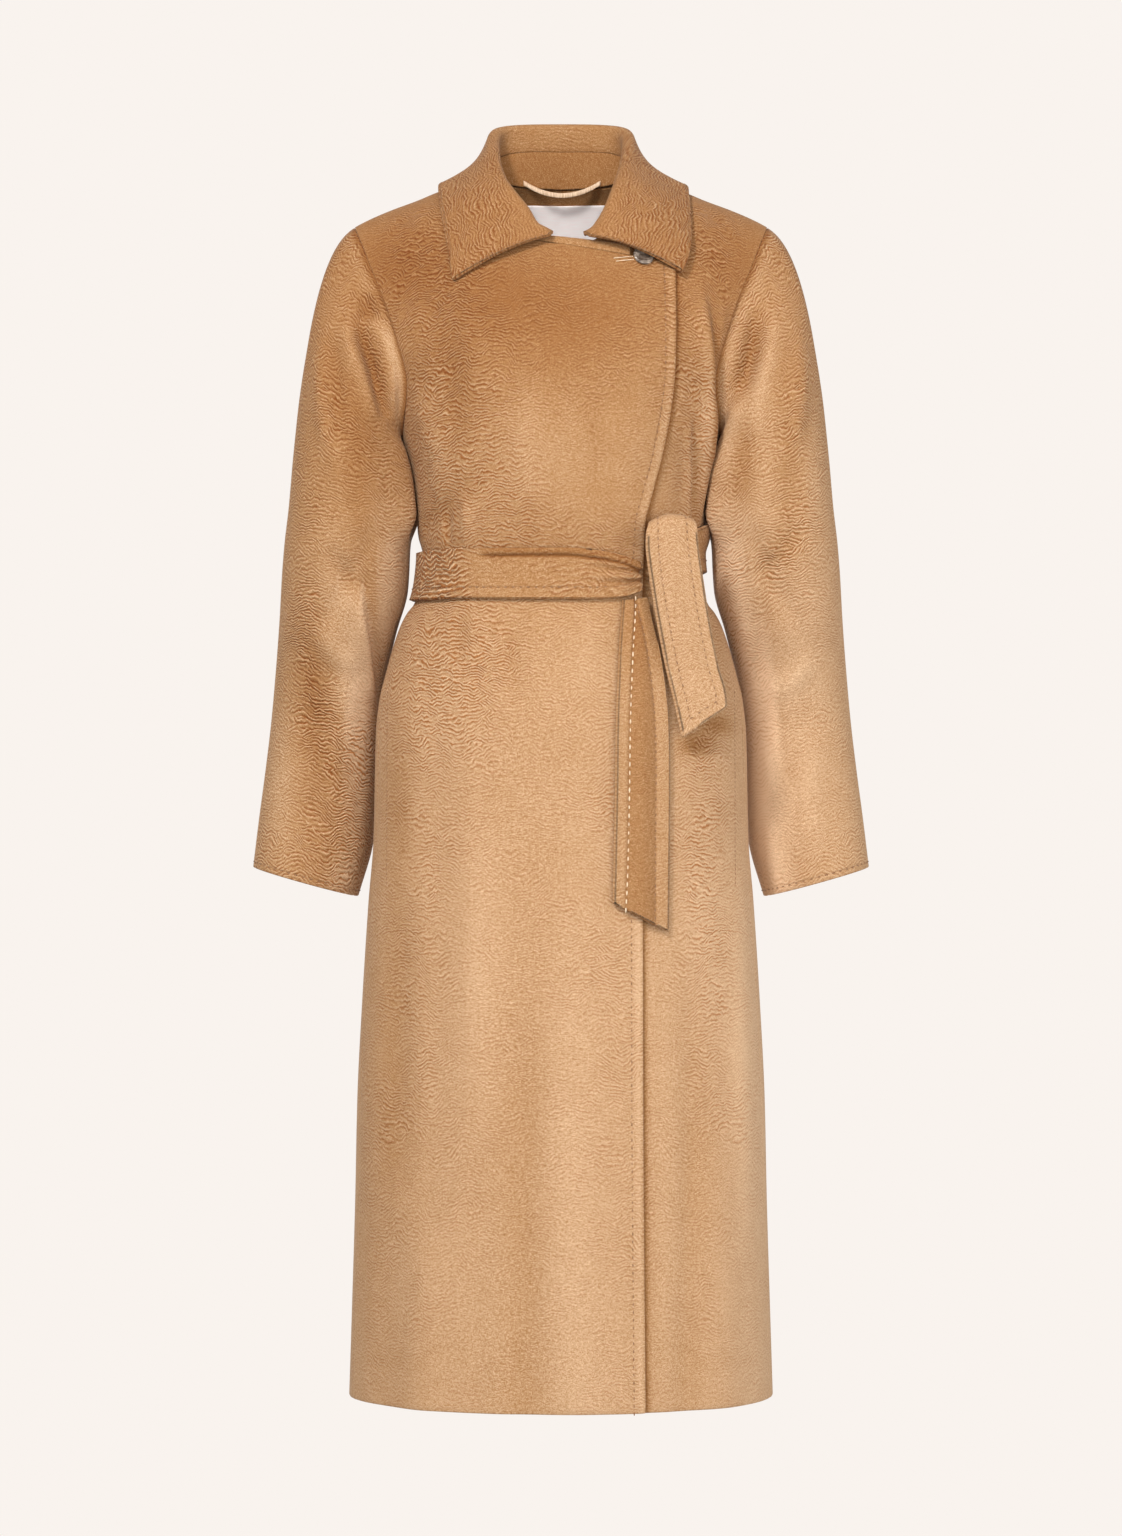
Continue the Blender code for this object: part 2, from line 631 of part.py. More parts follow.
def sleeve_ring(z):
    outer, inner = sleeve_value("outer_x", z), sleeve_value("inner_x", z)
    middle_y, tilt = sleeve_value("middle_y", z), sleeve_value("tilt", z)
    half = (outer - inner) / 2
    ring = []
    for angle in np.radians(sleeve_angles()):
        x = half * signed_power(math.cos(angle), 2 / SLEEVE_ROUND)
        side = signed_power(math.sin(angle), 2 / SLEEVE_ROUND)
        depth = sleeve_value("front" if side > 0 else "back", z)
        ring.append((inner + half + x, middle_y - depth * side, z + tilt * x))
    return np.array(ring)


def sleeve_folds(grid, normals):
    for row in range(1, len(grid)):
        for i, angle in enumerate(sleeve_angles()):
            turn = (angle + 180) % 360 - 180
            total = 0.0
            for angle0, z0, angle1, z1, width, height in SLEEVE_FOLDS:
                t = (grid[row, i, 2] - z0) / (z1 - z0)
                if 0 < t < 1:
                    away = (turn - angle0 - (angle1 - angle0) * t) / width
                    total += height * math.sin(math.pi * t) * math.exp(-away * away)
            grid[row, i] += normals[row, i] * total
    return grid


def ring_normals(grid):
    across = np.roll(grid, -1, axis=1) - np.roll(grid, 1, axis=1)
    down = np.gradient(grid, axis=0)
    normals = np.cross(across, down)
    return normals / np.linalg.norm(normals, axis=2, keepdims=True)


def sleeve_grid():
    # The whole left sleeve as closed rings, from the armhole to the cuff.
    start, leaving = armhole_loop()
    start = start + leaving * 2 * SEAM
    heights = np.linspace(SLEEVE[0][0], SLEEVE[-1][0], SLEEVE_RINGS)
    rings = [sleeve_ring(z) for z in heights]
    end = rings[0]
    rise = rings[0] - rings[1]
    rise /= np.linalg.norm(rise, axis=1, keepdims=True)
    reach = np.linalg.norm(end - start, axis=1, keepdims=True)
    first = start + leaving * reach * 0.155
    second = end + rise * reach * 0.565
    cap = []
    for t in np.linspace(0, 1, CAP_ROWS + 1)[:-1]:
        cap.append((1 - t) ** 3 * start + 3 * t * (1 - t) ** 2 * first
                   + 3 * t * t * (1 - t) * second + t ** 3 * end)
    grid = np.array(cap + rings)
    return sleeve_folds(grid, ring_normals(grid))


def sleeve_half(grid, normals, first, last):
    # The stations from first to last, with half a seam's gap taken off each side.
    picks = [i % grid.shape[1] for i in range(first, last + 1)]
    half = grid[:, picks].copy()
    half[:, 0] += SEAM / 2 * unit_rows(half[:, 1] - half[:, 0])
    half[:, -1] += SEAM / 2 * unit_rows(half[:, -2] - half[:, -1])
    return half, normals[:, picks]


def unit_rows(vectors):
    return vectors / np.linalg.norm(vectors, axis=1, keepdims=True)


def mirrored(points):
    return points * np.array([-1.0, 1.0, 1.0])


# ---- Collar


def collar_stations():
    # Right wing, back and left wing, with x below 0 on the wearer's right.
    def flipped(row):
        values = dict(zip(COLLAR_COLUMNS, row))
        values["x"], values["edge_x"] = -values["x"], -values["edge_x"]
        return values

    stations = [flipped(row) for row in RIGHT_WING + COLLAR_BACK]
    stations.append(dict(zip(COLLAR_COLUMNS, COLLAR_CENTRE)))
    stations += [dict(zip(COLLAR_COLUMNS, row)) for row in COLLAR_BACK[::-1] + LEFT_WING[::-1]]
    wing = len(RIGHT_WING)
    for i, station in enumerate(stations):
        station["back"] = wing <= i < len(stations) - wing
        station["straight"] = WING_STRAIGHT.get(min(i, len(stations) - 1 - i), 0.0)
    return stations


def collar_sections(path):
    # For each station: outer points from the leaf's edge, over the roll, to its inner edge.
    stations = collar_stations()
    middles = np.array([[s["x"], s["y"], s["z"]] for s in stations])
    runs = np.gradient(middles, axis=0)
    lengths = np.concatenate([[0.0], np.cumsum(np.linalg.norm(np.diff(middles, axis=0), axis=1))])
    sections = []
    for station, middle, run, length in zip(stations, middles, runs, lengths):
        x, z = station["edge_x"], station["edge_z"]
        angle = angle_of(x, z, back=station["back"])
        off = COLLAR_OFF + DOUBLED
        if not station["back"]:
            off += lap(x, z)
        place = skin(angle, z)
        off += SHOULDER_ROOM * ramp(-abs(place[1]), -0.030, 0.0)
        edge = place + skin_normal(angle, z) * off
        run = unit(run)
        reach = edge - middle
        down = reach - np.array([0.0, 0.0, station["droop"] * np.linalg.norm(reach)])
        down = unit(down - run * (down @ run))
        outward = np.cross(run, down)
        if outward @ np.array([middle[0], middle[1], 0.0]) < 0:
            outward = -outward
        begin = middle + outward * station["roll"]
        chord = edge - begin
        fall = down * np.linalg.norm(chord) * (1 - station["straight"]) + chord * station["straight"]
        belly = begin + fall * 0.45 + outward * station["swell"] * 2
        belly = belly + np.array([0.0, 0.0, WING_HOLLOW * station["straight"]])
        points = []
        for t in np.linspace(0, 1, FALL_ROWS)[:-1]:
            points.append((1 - t) ** 2 * edge + 2 * t * (1 - t) * belly + t * t * begin)
        foot = path_point(path, length / lengths[-1]) - middle
        wrap = roll_end(foot @ outward, foot @ down, station["roll"])
        for turn in np.linspace(0, wrap, ROLL_ROWS):
            points.append(middle + station["roll"] * (outward * math.cos(turn) - down * math.sin(turn)))
        inward = -outward * math.sin(wrap) - down * math.cos(wrap)
        points.append(points[-1] + inward * station["inside"] / 2)
        points.append(points[-2] + inward * station["inside"])
        sections.append(points)
    return np.array(sections)


def roll_end(out, down, radius):
    # How far round the roll goes before it heads straight for the neckline's foot, in radians.
    distance = math.hypot(out, down)
    least = math.radians(END_WRAP)
    if distance < radius:
        return least
    heading = math.atan2(-down, out) % (2 * math.pi)
    share = ramp(distance, radius, FULL_WRAP_AT)
    return least + (heading - math.acos(radius / distance) - least) * share


def denser(grid):
    # Adds a station between each two, on a smooth curve through four.
    rows = []
    for i in range(len(grid) - 1):
        before, after = grid[max(i - 1, 0)], grid[min(i + 2, len(grid) - 1)]
        rows.append(grid[i])
        rows.append((9 * (grid[i] + grid[i + 1]) - before - after) / 16)
    rows.append(grid[-1])
    return np.array(rows)


def outward_normals(grid, outside):
    # A grid's own normals, turned to the side that a known outward direction gives at one of its points.
    normals = grid_normals(grid)
    row, col, direction = outside
    return normals * math.copysign(1.0, float(normals[row, col] @ np.array(direction)))


def collar_leaf(path, surface):
    grid = denser(collar_sections(path))
    normals = outward_normals(grid, (len(grid) // 2, 0, (0.0, 1.0, 0.0)))
    wall("collar_leaf", grid, normals, DOUBLED, surface)
    return grid


def neckline_point(x, back):
    z = back_neck_z(x) if back else front_neck_z(x, NECK_FRONT_Z)
    angle = angle_of(x, z, back=back)
    point = skin(angle, z)
    if not back and x < 0:
        point = point + skin_normal(angle, z) * lap(x, z)
    return point


def neck_path():
    # The neckline from the collar's right end, round the back, to its left end, on the panels' own points,
    # with the length from its start to each point.
    front = [x for x, _ in front_tops(1, OUTER_EDGE_TOP_X, NECK_FRONT_Z)[5:10]]
    back = [NECK_X * math.sin(math.radians(turn)) for turn in BACK_NECK_TURNS]
    path = [neckline_point(x, False) for x in [NECK_ENDS[0]] + [-x for x in front[1:]]]
    path += [neckline_point(-x, True) for x in back] + [neckline_point(0.0, True)]
    path += [neckline_point(x, True) for x in back[::-1]]
    path += [neckline_point(x, False) for x in front[:1:-1] + [NECK_ENDS[1]]]
    steps = np.concatenate([[0.0], np.cumsum(np.linalg.norm(np.diff(path, axis=0), axis=1))])
    return np.array(path), steps


def path_point(path, share):
    points, steps = path
    return np.array([np.interp(share * steps[-1], steps, points[:, i]) for i in range(3)])


def collar_stand(leaf, path, surface):
    # From the leaf's inner edge down to the neckline, in stations that match the leaf's.
    middles = leaf[:, FALL_ROWS]
    lengths = np.concatenate([[0.0], np.cumsum(np.linalg.norm(np.diff(middles, axis=0), axis=1))])
    first = 2 * STAND_FIRST
    grid = []
    normals = []
    for i in range(first, len(leaf) - first):
        top, above = leaf[i, -1], leaf[i, -2]
        heading = unit(top - above)
        foot = path_point(path, lengths[i] / lengths[-1])
        radial = unit(np.array([foot[0], foot[1] + 0.010, 0.0]))
        foot = foot - radial * (2 * CLOTH + SEAM)
        start = top + heading * SEAM
        grid.append([start + (foot - start) * t for t in (0.0, 0.5, 1.0)])
        run = unit(leaf[i + 1, -1] - leaf[i - 1, -1])
        face = unit(np.cross(run, foot - start))
        normals.append([face * math.copysign(1.0, -float(face @ radial))] * 3)
    wall("collar_stand", grid, normals, CLOTH, surface)


def neck_band(surface):
    # It stands on the outer front's top edge, at that panel's own points.
    tops = front_tops(-1, OUTER_EDGE_TOP_X, NECK_FRONT_Z)[2:7]
    grid = []
    normals = []
    for top in (False, True):
        row = []
        out = []
        for x, low in tops:
            z = BAND_TOP_Z + (low - NECK_FRONT_Z) * 0.75 if top else low + SEAM
            normal = skin_normal(angle_of(x, z), z)
            row.append(skin(angle_of(x, z), z) + normal * lap(x, z))
            out.append(normal)
        grid.append(row)
        normals.append(out)
    wall("neck_band", grid, normals, CLOTH, surface)


# ---- Belt


def belt_value(name, angle):
    return smooth(column(BELT_COLUMNS, BELT, "angle"), column(BELT_COLUMNS, BELT, name), angle)


def belt_waist(surface):
    grid = []
    normals = []
    for angle in np.linspace(BELT[0][0], BELT[-1][0], BELT_STEPS + 1):
        middle, half = belt_value("z", angle), belt_value("half", angle)
        around = (angle + 180) % 360 - 180
        points = []
        out = []
        for share in (-1.0, -0.5, 0.0, 0.5, 1.0):
            z = middle + half * share
            point = skin(around, z)
            normal = skin_normal(around, z)
            front = abs(around) < 90
            off = lap(point[0], z) * front * ramp(-point[0], -0.100, -0.080)
            points.append(point + normal * (off + BELT_OFF + DOUBLED))
            out.append(normal)
        grid.append(points)
        normals.append(out)
    wall("belt_waist", grid, normals, DOUBLED, surface)


def belt_knot(surface):
    # A rounded wrap of cloth that the ends go into.
    turn = math.radians(KNOT_TURN)
    across = np.array([math.cos(turn), math.sin(turn), 0.0])
    flat = np.array([math.sin(turn), -math.cos(turn), 0.0])
    centre = np.array(KNOT_MIDDLE)
    around, up = 20, 9
    points = []
    for i in range(1, up):
        tip = math.pi * i / up - math.pi / 2
        ring = abs(math.cos(tip)) ** 0.6
        height = KNOT_HALF[2] * signed_power(math.sin(tip), 0.8)
        for j in range(around):
            angle = 2 * math.pi * j / around
            side = KNOT_HALF[0] * ring * signed_power(math.cos(angle), 0.75)
            depth = KNOT_HALF[1] * ring * signed_power(math.sin(angle), 0.75)
            points.append(centre + across * side + flat * depth + np.array([0.0, 0.0, height]))
    bottom, top = len(points), len(points) + 1
    points.append(centre - np.array([0.0, 0.0, KNOT_HALF[2]]))
    points.append(centre + np.array([0.0, 0.0, KNOT_HALF[2]]))
    faces = []
    for i in range(up - 2):
        for j in range(around):
            a, b = i * around + j, i * around + (j + 1) % around
            faces.append((a, a + around, b + around, b))
    for j in range(around):
        following = (j + 1) % around
        faces.append((bottom, j, following))
        faces.append((top, (up - 2) * around + following, (up - 2) * around + j))
    add_object("belt_knot", points, faces, surface)


def belt_tail_short(surface):
    grid = []
    for row in SHORT_TAIL:
        left, right = np.array(row[:3]), np.array(row[3:])
        grid.append([left + (right - left) * t for t in np.linspace(0, 1, TAIL_STEPS + 1)])
    grid = np.array(grid)
    across = np.linspace(-1, 1, TAIL_STEPS + 1)
    height = np.clip((grid[..., 2] - SHORT_ARCH_LOW) / (grid[..., 2].max() - SHORT_ARCH_LOW), 0, 1)
    height[:SHORT_BEHIND] = 0
    grid[..., 2] -= SHORT_ARCH * across ** 2 * height
    normals = outward_normals(grid, (len(grid) - 2, 0, (0.0, -1.0, 0.0)))
    wall("belt_tail_short", grid, normals, DOUBLED, surface)


def belt_tail_long(surface):
    grid = []
    for left_x, left_z, right_x, right_z in LONG_TAIL:
        points = []
        for t in np.linspace(0, 1, TAIL_STEPS + 1):
            x, z = left_x + (right_x - left_x) * t, left_z + (right_z - left_z) * t
            step = LAP * (1 - ramp(x - outer_edge_x(z), 0.0, 0.015))
            points.append(skin(angle_of(x, z), z) - np.array([0.0, step + LONG_OFF + DOUBLED, 0.0]))
        grid.append(points)
    grid = np.array(grid)
    normals = outward_normals(grid, (len(grid) - 2, 0, (0.0, -1.0, 0.0)))
    wall("belt_tail_long", grid, normals, DOUBLED, surface)


# ---- Small parts


def label(surface):
    grid = []
    normals = []
    for z in np.linspace(LABEL_Z[0], LABEL_Z[1], 4):
        row = []
        out = []
        for x in np.linspace(LABEL_X[0], LABEL_X[1], 7):
            angle = angle_of(x, z, back=True)
            normal = skin_normal(angle, z)
            row.append(skin(angle, z) - normal * (CLOTH + LABEL_OFF + SATIN))
            out.append(-normal)
        grid.append(row)
        normals.append(out)
    wall("label", grid, normals, SATIN, surface)


def hanger_loop(surface):
    grid = []
    for t in np.linspace(-1, 1, LOOP_STEPS + 1):
        x = LOOP_HALF * t + 0.001
        z = LOOP_END_Z - LOOP_SAG * (1 - t * t)
        y = LOOP_END_Y + (LOOP_MIDDLE_Y - LOOP_END_Y) * (1 - t * t)
        grid.append([np.array([x, y, z + LOOP_WIDTH / 2]), np.array([x, y - 0.0005, z - LOOP_WIDTH / 2])])
    grid = np.array(grid)
    normals = outward_normals(grid, (LOOP_STEPS // 2, 0, (0.0, -1.0, 0.0)))
    wall("hanger_loop", grid, normals, SATIN, surface)


def button(surface):
    # Turned: a rim round a shallow dish.
    profile = (
        (0.0, 0.55), (0.45, 0.60), (0.68, 0.80), (0.86, 1.0), (0.97, 0.80), (1.0, 0.45), (0.93, 0.10), (0.80, 0.0),
        (0.0, 0.0),
    )
    angle = angle_of(BUTTON_X, BUTTON_Z)
    out = skin_normal(angle, BUTTON_Z)
    seat = skin(angle, BUTTON_Z) + out * (lap(BUTTON_X, BUTTON_Z) + 2 * SEAM)
    side = unit(np.cross(np.array([0.0, 0.0, 1.0]), out))
    up = np.cross(out, side)
    rings = profile[1:-1]
    points = []
    for radius, height in rings:
        for j in range(BUTTON_SIDES):
            turn = 2 * math.pi * j / BUTTON_SIDES
            spoke = side * math.cos(turn) + up * math.sin(turn)
            points.append(seat + spoke * radius * BUTTON_RADIUS + out * height * BUTTON_THICK)
    face, foot = len(points), len(points) + 1
    points.append(seat + out * profile[0][1] * BUTTON_THICK)
    points.append(seat)
    faces = []
    for j in range(BUTTON_SIDES):
        following = (j + 1) % BUTTON_SIDES
        faces.append((face, j, following))
        last = (len(rings) - 1) * BUTTON_SIDES
        faces.append((foot, last + following, last + j))
        for i in range(len(rings) - 1):
            a, b = i * BUTTON_SIDES, (i + 1) * BUTTON_SIDES
            faces.append((a + j, b + j, b + following, a + following))
    add_object("button", points, faces, surface)


def pocket_facing(side, surface):
    grid = []
    normals = []
    for z in np.linspace(POCKET_Z[0], POCKET_Z[1], POCKET_STEPS + 1):
        row = []
        out = []
        for turn in np.linspace(-POCKET_HALF_ANGLE, POCKET_HALF_ANGLE, 5):
            angle = side * (SIDE_ANGLE + turn)
            normal = skin_normal(angle, z)
            row.append(skin(angle, z) - normal * (CLOTH + POCKET_OFF))
            out.append(normal)
        grid.append(row)
        normals.append(out)
    wall("pocket_facing_left" if side > 0 else "pocket_facing_right", grid, normals, FACING, surface)


# ---- The coat


def build_coat():
    for old in list(bpy.data.objects):
        bpy.data.objects.remove(old, do_unlink=True)
    wool = {name: material("wool_" + name, CAMEL, 0.85, 0.5) for name in
            ("front_right", "front_left", "back", "sleeve_right", "sleeve_left", "collar", "belt", "pocket")}
    wall("front_right", *front_grid(-1, outer_edge_x, NECK_FRONT_Z, True), CLOTH, wool["front_right"])
    wall("front_left", *front_grid(1, inner_edge_x, NECK_FRONT_Z - 0.002, False), CLOTH, wool["front_left"])
    wall("back", *back_grid(), CLOTH, wool["back"])
    grid = sleeve_grid()
    normals = ring_normals(grid)
    stations = len(ARMHOLE) - 1
    for name, flip in (("left", False), ("right", True)):
        for half, first, last in (("front", 0, stations), ("back", stations, 2 * stations)):
            points, outward = sleeve_half(grid, normals, first, last)
            if flip:
                points, outward = mirrored(points), mirrored(outward)
            wall(f"sleeve_{name}_{half}", points, outward, CLOTH, wool["sleeve_" + name])
    path = neck_path()
    leaf = collar_leaf(path, wool["collar"])
    collar_stand(leaf, path, wool["collar"])
    neck_band(wool["collar"])
    belt_waist(wool["belt"])
    belt_knot(wool["belt"])
    belt_tail_short(wool["belt"])
    belt_tail_long(wool["belt"])
    label(material("label_satin", WHITE_SATIN, 0.4))
    hanger_loop(material("loop_satin", PALE_SATIN, 0.35))
    button(material("button_horn", HORN, 0.25))
    for side in (1, -1):
        pocket_facing(side, wool["pocket"])


build_coat()
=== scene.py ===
import math
from types import SimpleNamespace

import bpy
import numpy as np
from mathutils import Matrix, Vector


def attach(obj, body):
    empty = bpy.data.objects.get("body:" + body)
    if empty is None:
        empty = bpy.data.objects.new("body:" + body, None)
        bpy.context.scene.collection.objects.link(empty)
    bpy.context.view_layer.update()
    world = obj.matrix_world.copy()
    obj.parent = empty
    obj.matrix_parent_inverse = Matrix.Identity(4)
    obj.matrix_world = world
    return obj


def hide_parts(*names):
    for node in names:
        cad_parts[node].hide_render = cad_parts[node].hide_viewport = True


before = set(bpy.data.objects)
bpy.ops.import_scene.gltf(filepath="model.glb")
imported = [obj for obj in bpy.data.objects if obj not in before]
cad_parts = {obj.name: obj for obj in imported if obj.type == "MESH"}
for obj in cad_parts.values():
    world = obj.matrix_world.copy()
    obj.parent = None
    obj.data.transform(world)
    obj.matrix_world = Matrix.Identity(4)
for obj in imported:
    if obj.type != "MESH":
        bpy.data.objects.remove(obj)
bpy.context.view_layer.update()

# Values to change, for the cloth here and for each piece beside its code. Lengths are in metres.
cloth = {
    "thickness": 0.0025, "doubled": 0.0045, "satin": 0.0012, "facing": 0.0015, "seamGap": 0.00006,
    "seamRound": 0.0006, "rowStep": 0.006, "foldGain": 2.2,
}
# The fold gain paints folds paler on their ridges and darker in their troughs: painted light and shade.
# The valley colour in the wool is painted shade, for the nap's ripples and the stitch grooves.
wool = {
    "deep": (0.226, 0.092, 0.026), "middle": (0.336, 0.181, 0.077), "pale": (0.532, 0.352, 0.212),
    "light": (0.74, 0.52, 0.34), "valleyShade": (0.58, 0.35, 0.18), "sheen": 0.08, "foldShading": 120.0,
    "ripple": 0.0035, "rippleHeight": 0.00042, "grainHeight": 0.00018, "mottleHeight": 0.00028,
    "wander": ((28.0, 12.0, 0.042), (140.0, 70.0, 0.006), (360.0, 260.0, 0.0015)),
}
stitches = {"pitch": 0.007, "length": 0.003, "thread": 0.0011, "grooveWidth": 0.0011, "grooveDepth": 0.00055}
button = {
    "colour": (0.085, 0.06, 0.045), "rim": (0.4, 0.33, 0.27),
    "x": 0.0745, "z": -0.0673, "radius": 0.0097, "thick": 0.0034,
}
paintNames = ("nap", "brushed", "groove", "tone")  # what each wool piece is painted with, point by point

# The body's shape: the outer front lies lapOff out, and angles turn from the centre front.
lapOff = 0.0045
bodyRound = 2.2
armpitZ = -0.225
shoulderX = 0.192
neckX = 0.066
neckFrontZ = -0.056
neckBackZ = 0.011
frontNeckTurns = (20, 36, 50)
backNeckTurns = (66, 40, 18)
neckSeamY = 0.015
rollDepth = 0.2
rollPower = 1.6
sideAngle = 77.0
outerEdgeTopX = 0.104
overlapDrop = 0.017
innerEdgeX = -0.075

# The body's sections: height, half width, and depths before and behind.
bodyRows = (
    (-1.115, 0.197, 0.152, 0.15),
    (-1.02, 0.194, 0.15, 0.148),
    (-0.935, 0.1915, 0.148, 0.145),
    (-0.84, 0.1895, 0.1455, 0.1425),
    (-0.75, 0.185, 0.143, 0.14),
    (-0.656, 0.179, 0.14, 0.136),
    (-0.6, 0.1745, 0.1375, 0.132),
    (-0.5, 0.1722, 0.134, 0.128),
    (-0.47, 0.169, 0.131, 0.125),
    (-0.446, 0.1632, 0.1275, 0.121),
    (-0.423, 0.157, 0.124, 0.1175),
    (-0.4, 0.149, 0.1195, 0.114),
    (-0.388, 0.1425, 0.1155, 0.111),
    (-0.379, 0.1355, 0.113, 0.108),
    (-0.356, 0.1305, 0.1105, 0.1055),
    (-0.334, 0.1288, 0.1105, 0.105),
    (-0.318, 0.1328, 0.113, 0.1065),
    (-0.298, 0.1346, 0.1165, 0.108),
    (-0.26, 0.1395, 0.121, 0.11),
    (-0.225, 0.1495, 0.124, 0.112),
    (-0.18, 0.16, 0.124, 0.113),
    (-0.14, 0.184, 0.1215, 0.113),
    (-0.1, 0.2085, 0.118, 0.1125),
    (-0.06, 0.227, 0.116, 0.112),
    (-0.03, 0.2384, 0.115, 0.112),
    (0.03, 0.256, 0.115, 0.112),
)
shoulderRows = (
    (0.0, 0.031), (0.066, 0.018), (0.089, 0.0114), (0.112, 0.0045), (0.134, -0.0047), (0.1585, -0.014),
    (0.179, -0.023), (0.192, -0.03), (0.22, -0.05),
)
# The armhole, from the armpit up: heights, and angles from the centre front and centre back.
armholeRows = (
    (-0.225, 76.94, -0.225, 102.94),
    (-0.208, 69.0, -0.2185, 93.0),
    (-0.188, 63.0, -0.2085, 84.0),
    (-0.166, 57.8, -0.194, 76.0),
    (-0.144, 53.8, -0.175, 69.0),
    (-0.121, 51.3, -0.152, 63.5),
    (-0.098, 50.0, -0.126, 59.5),
    (-0.074, 50.5, -0.098, 56.5),
    (-0.051, 51.0, -0.064, 54.0),
    (-0.03, 52.0, -0.03, 52.0),
)
outerEdgeRows = (
    (-1.115, 0.0755), (-0.85, 0.0735), (-0.6, 0.073), (-0.4, 0.0725), (-0.312, 0.0752), (-0.283, 0.0815),
    (-0.248, 0.0905), (-0.203, 0.099), (-0.168, 0.1025), (-0.118, 0.104), (0.03, 0.104),
)
rowHeights = (
    -1.115, -1.06, -0.995, -0.925, -0.855, -0.785, -0.715, -0.655, -0.605, -0.562, -0.524, -0.494,
    -0.468, -0.444, -0.421, -0.4, -0.388, -0.377, -0.36, -0.343, -0.326, -0.309, -0.29, -0.268,
    -0.246, armpitZ,
)


def smoothCurve(xs, ys):
    # A cubic through a table's points that never overshoots them, as a function of an array.
    xs, ys = np.array(xs, float), np.array(ys, float)
    if xs[0] > xs[-1]:
        xs, ys = xs[::-1], ys[::-1]
    step = np.diff(xs)
    slope = np.diff(ys) / step
    tangent = np.zeros(len(xs))
    tangent[0], tangent[-1] = slope[0], slope[-1]
    for i in range(1, len(xs) - 1):
        if slope[i - 1] * slope[i] > 0:
            tangent[i] = 2 * slope[i - 1] * slope[i] / (slope[i - 1] + slope[i])

    def value(x):
        x = np.clip(np.asarray(x, float), xs[0], xs[-1])
        i = np.clip(np.searchsorted(xs, x, side="right") - 1, 0, len(xs) - 2)
        t = (x - xs[i]) / step[i]
        start = (1 + 2 * t) * (1 - t) ** 2 * ys[i] + t * (1 - t) ** 2 * step[i] * tangent[i]
        return start + t * t * (3 - 2 * t) * ys[i + 1] + t * t * (t - 1) * step[i] * tangent[i + 1]

    return value


def columnsOf(rows):
    return np.array(rows, float).T


bodyTable = columnsOf(bodyRows)
bodyHalf, bodyFront, bodyBack = (smoothCurve(bodyTable[0], bodyTable[i]) for i in (1, 2, 3))
shoulderCurve = smoothCurve(*columnsOf(shoulderRows))
outerEdge = smoothCurve(*columnsOf(outerEdgeRows))
armholeSteps = np.arange(len(armholeRows))
armholeCurves = {
    name: smoothCurve(armholeSteps, column)
    for name, column in zip(("frontZ", "frontAngle", "backZ", "backAngle"), columnsOf(armholeRows))
}


def shoulderZ(x):
    return shoulderCurve(np.abs(x))


def ramp(value, low, high):
    t = np.clip((np.asarray(value, float) - low) / (high - low), 0.0, 1.0)
    return t * t * (3 - 2 * t)


def hump(distance, width):
    return np.exp(-((distance / width) ** 2))


def unit(vectors):
    return vectors / np.maximum(np.linalg.norm(vectors, axis=-1, keepdims=True), 1e-12)


def signedPower(value, power):
    return np.sign(value) * np.abs(value) ** power


def skin(angle, z):
    # Points of the body's surface at angles and heights.
    angle, z = np.broadcast_arrays(np.asarray(angle, float), np.asarray(z, float))
    turn = np.radians(angle)
    x = bodyHalf(z) * signedPower(np.sin(turn), 2 / bodyRound)
    facing = signedPower(np.cos(turn), 2 / bodyRound)
    depth = np.where(facing > 0, bodyFront(z), bodyBack(z))
    drop = shoulderZ(x) - z
    fraction = np.clip(np.where(drop < 3e-5, 0.0, drop) / rollDepth, 0.0, 1.0)
    full = np.sqrt(1 - (1 - fraction) ** rollPower)
    seamY = neckSeamY * (1 - np.minimum(np.abs(x) / shoulderX, 1.0))
    return np.stack([x, seamY * (1 - full) - depth * facing * full, z], axis=-1)


def skinNormal(angle, z):
    across = skin(np.asarray(angle) + 0.05, z) - skin(np.asarray(angle) - 0.05, z)
    up = skin(angle, z) - skin(angle, np.asarray(z) - 0.0002)
    return unit(np.cross(across, up))


def angleOf(x, z, back=False):
    share = np.minimum(np.abs(x) / bodyHalf(z), 1.0)
    turn = np.copysign(np.degrees(np.arcsin(share ** (bodyRound / 2))), x)
    return 180 - turn if back else turn


def lap(x, z):
    return lapOff * ramp(x, -0.12, -0.08) * ramp(-np.asarray(z), 0.032, 0.06)


def fold(points, rows):
    total = np.zeros(points.shape[:-1])
    for x0, z0, x1, z1, width, height in rows:
        run = np.array([x1 - x0, z1 - z0])
        place = points[..., [0, 2]] - np.array([x0, z0])
        t = np.clip(place @ run / (run @ run), 0.0, 1.0)
        distance = np.linalg.norm(place - t[..., None] * run, axis=-1)
        taper = np.minimum(4 * t * (1 - t) + 0.25, 1.0)
        if z1 < -1.1:
            taper = np.where(t > 0.5, 1.0, taper)
        total += height * taper * hump(distance, width)
    return total


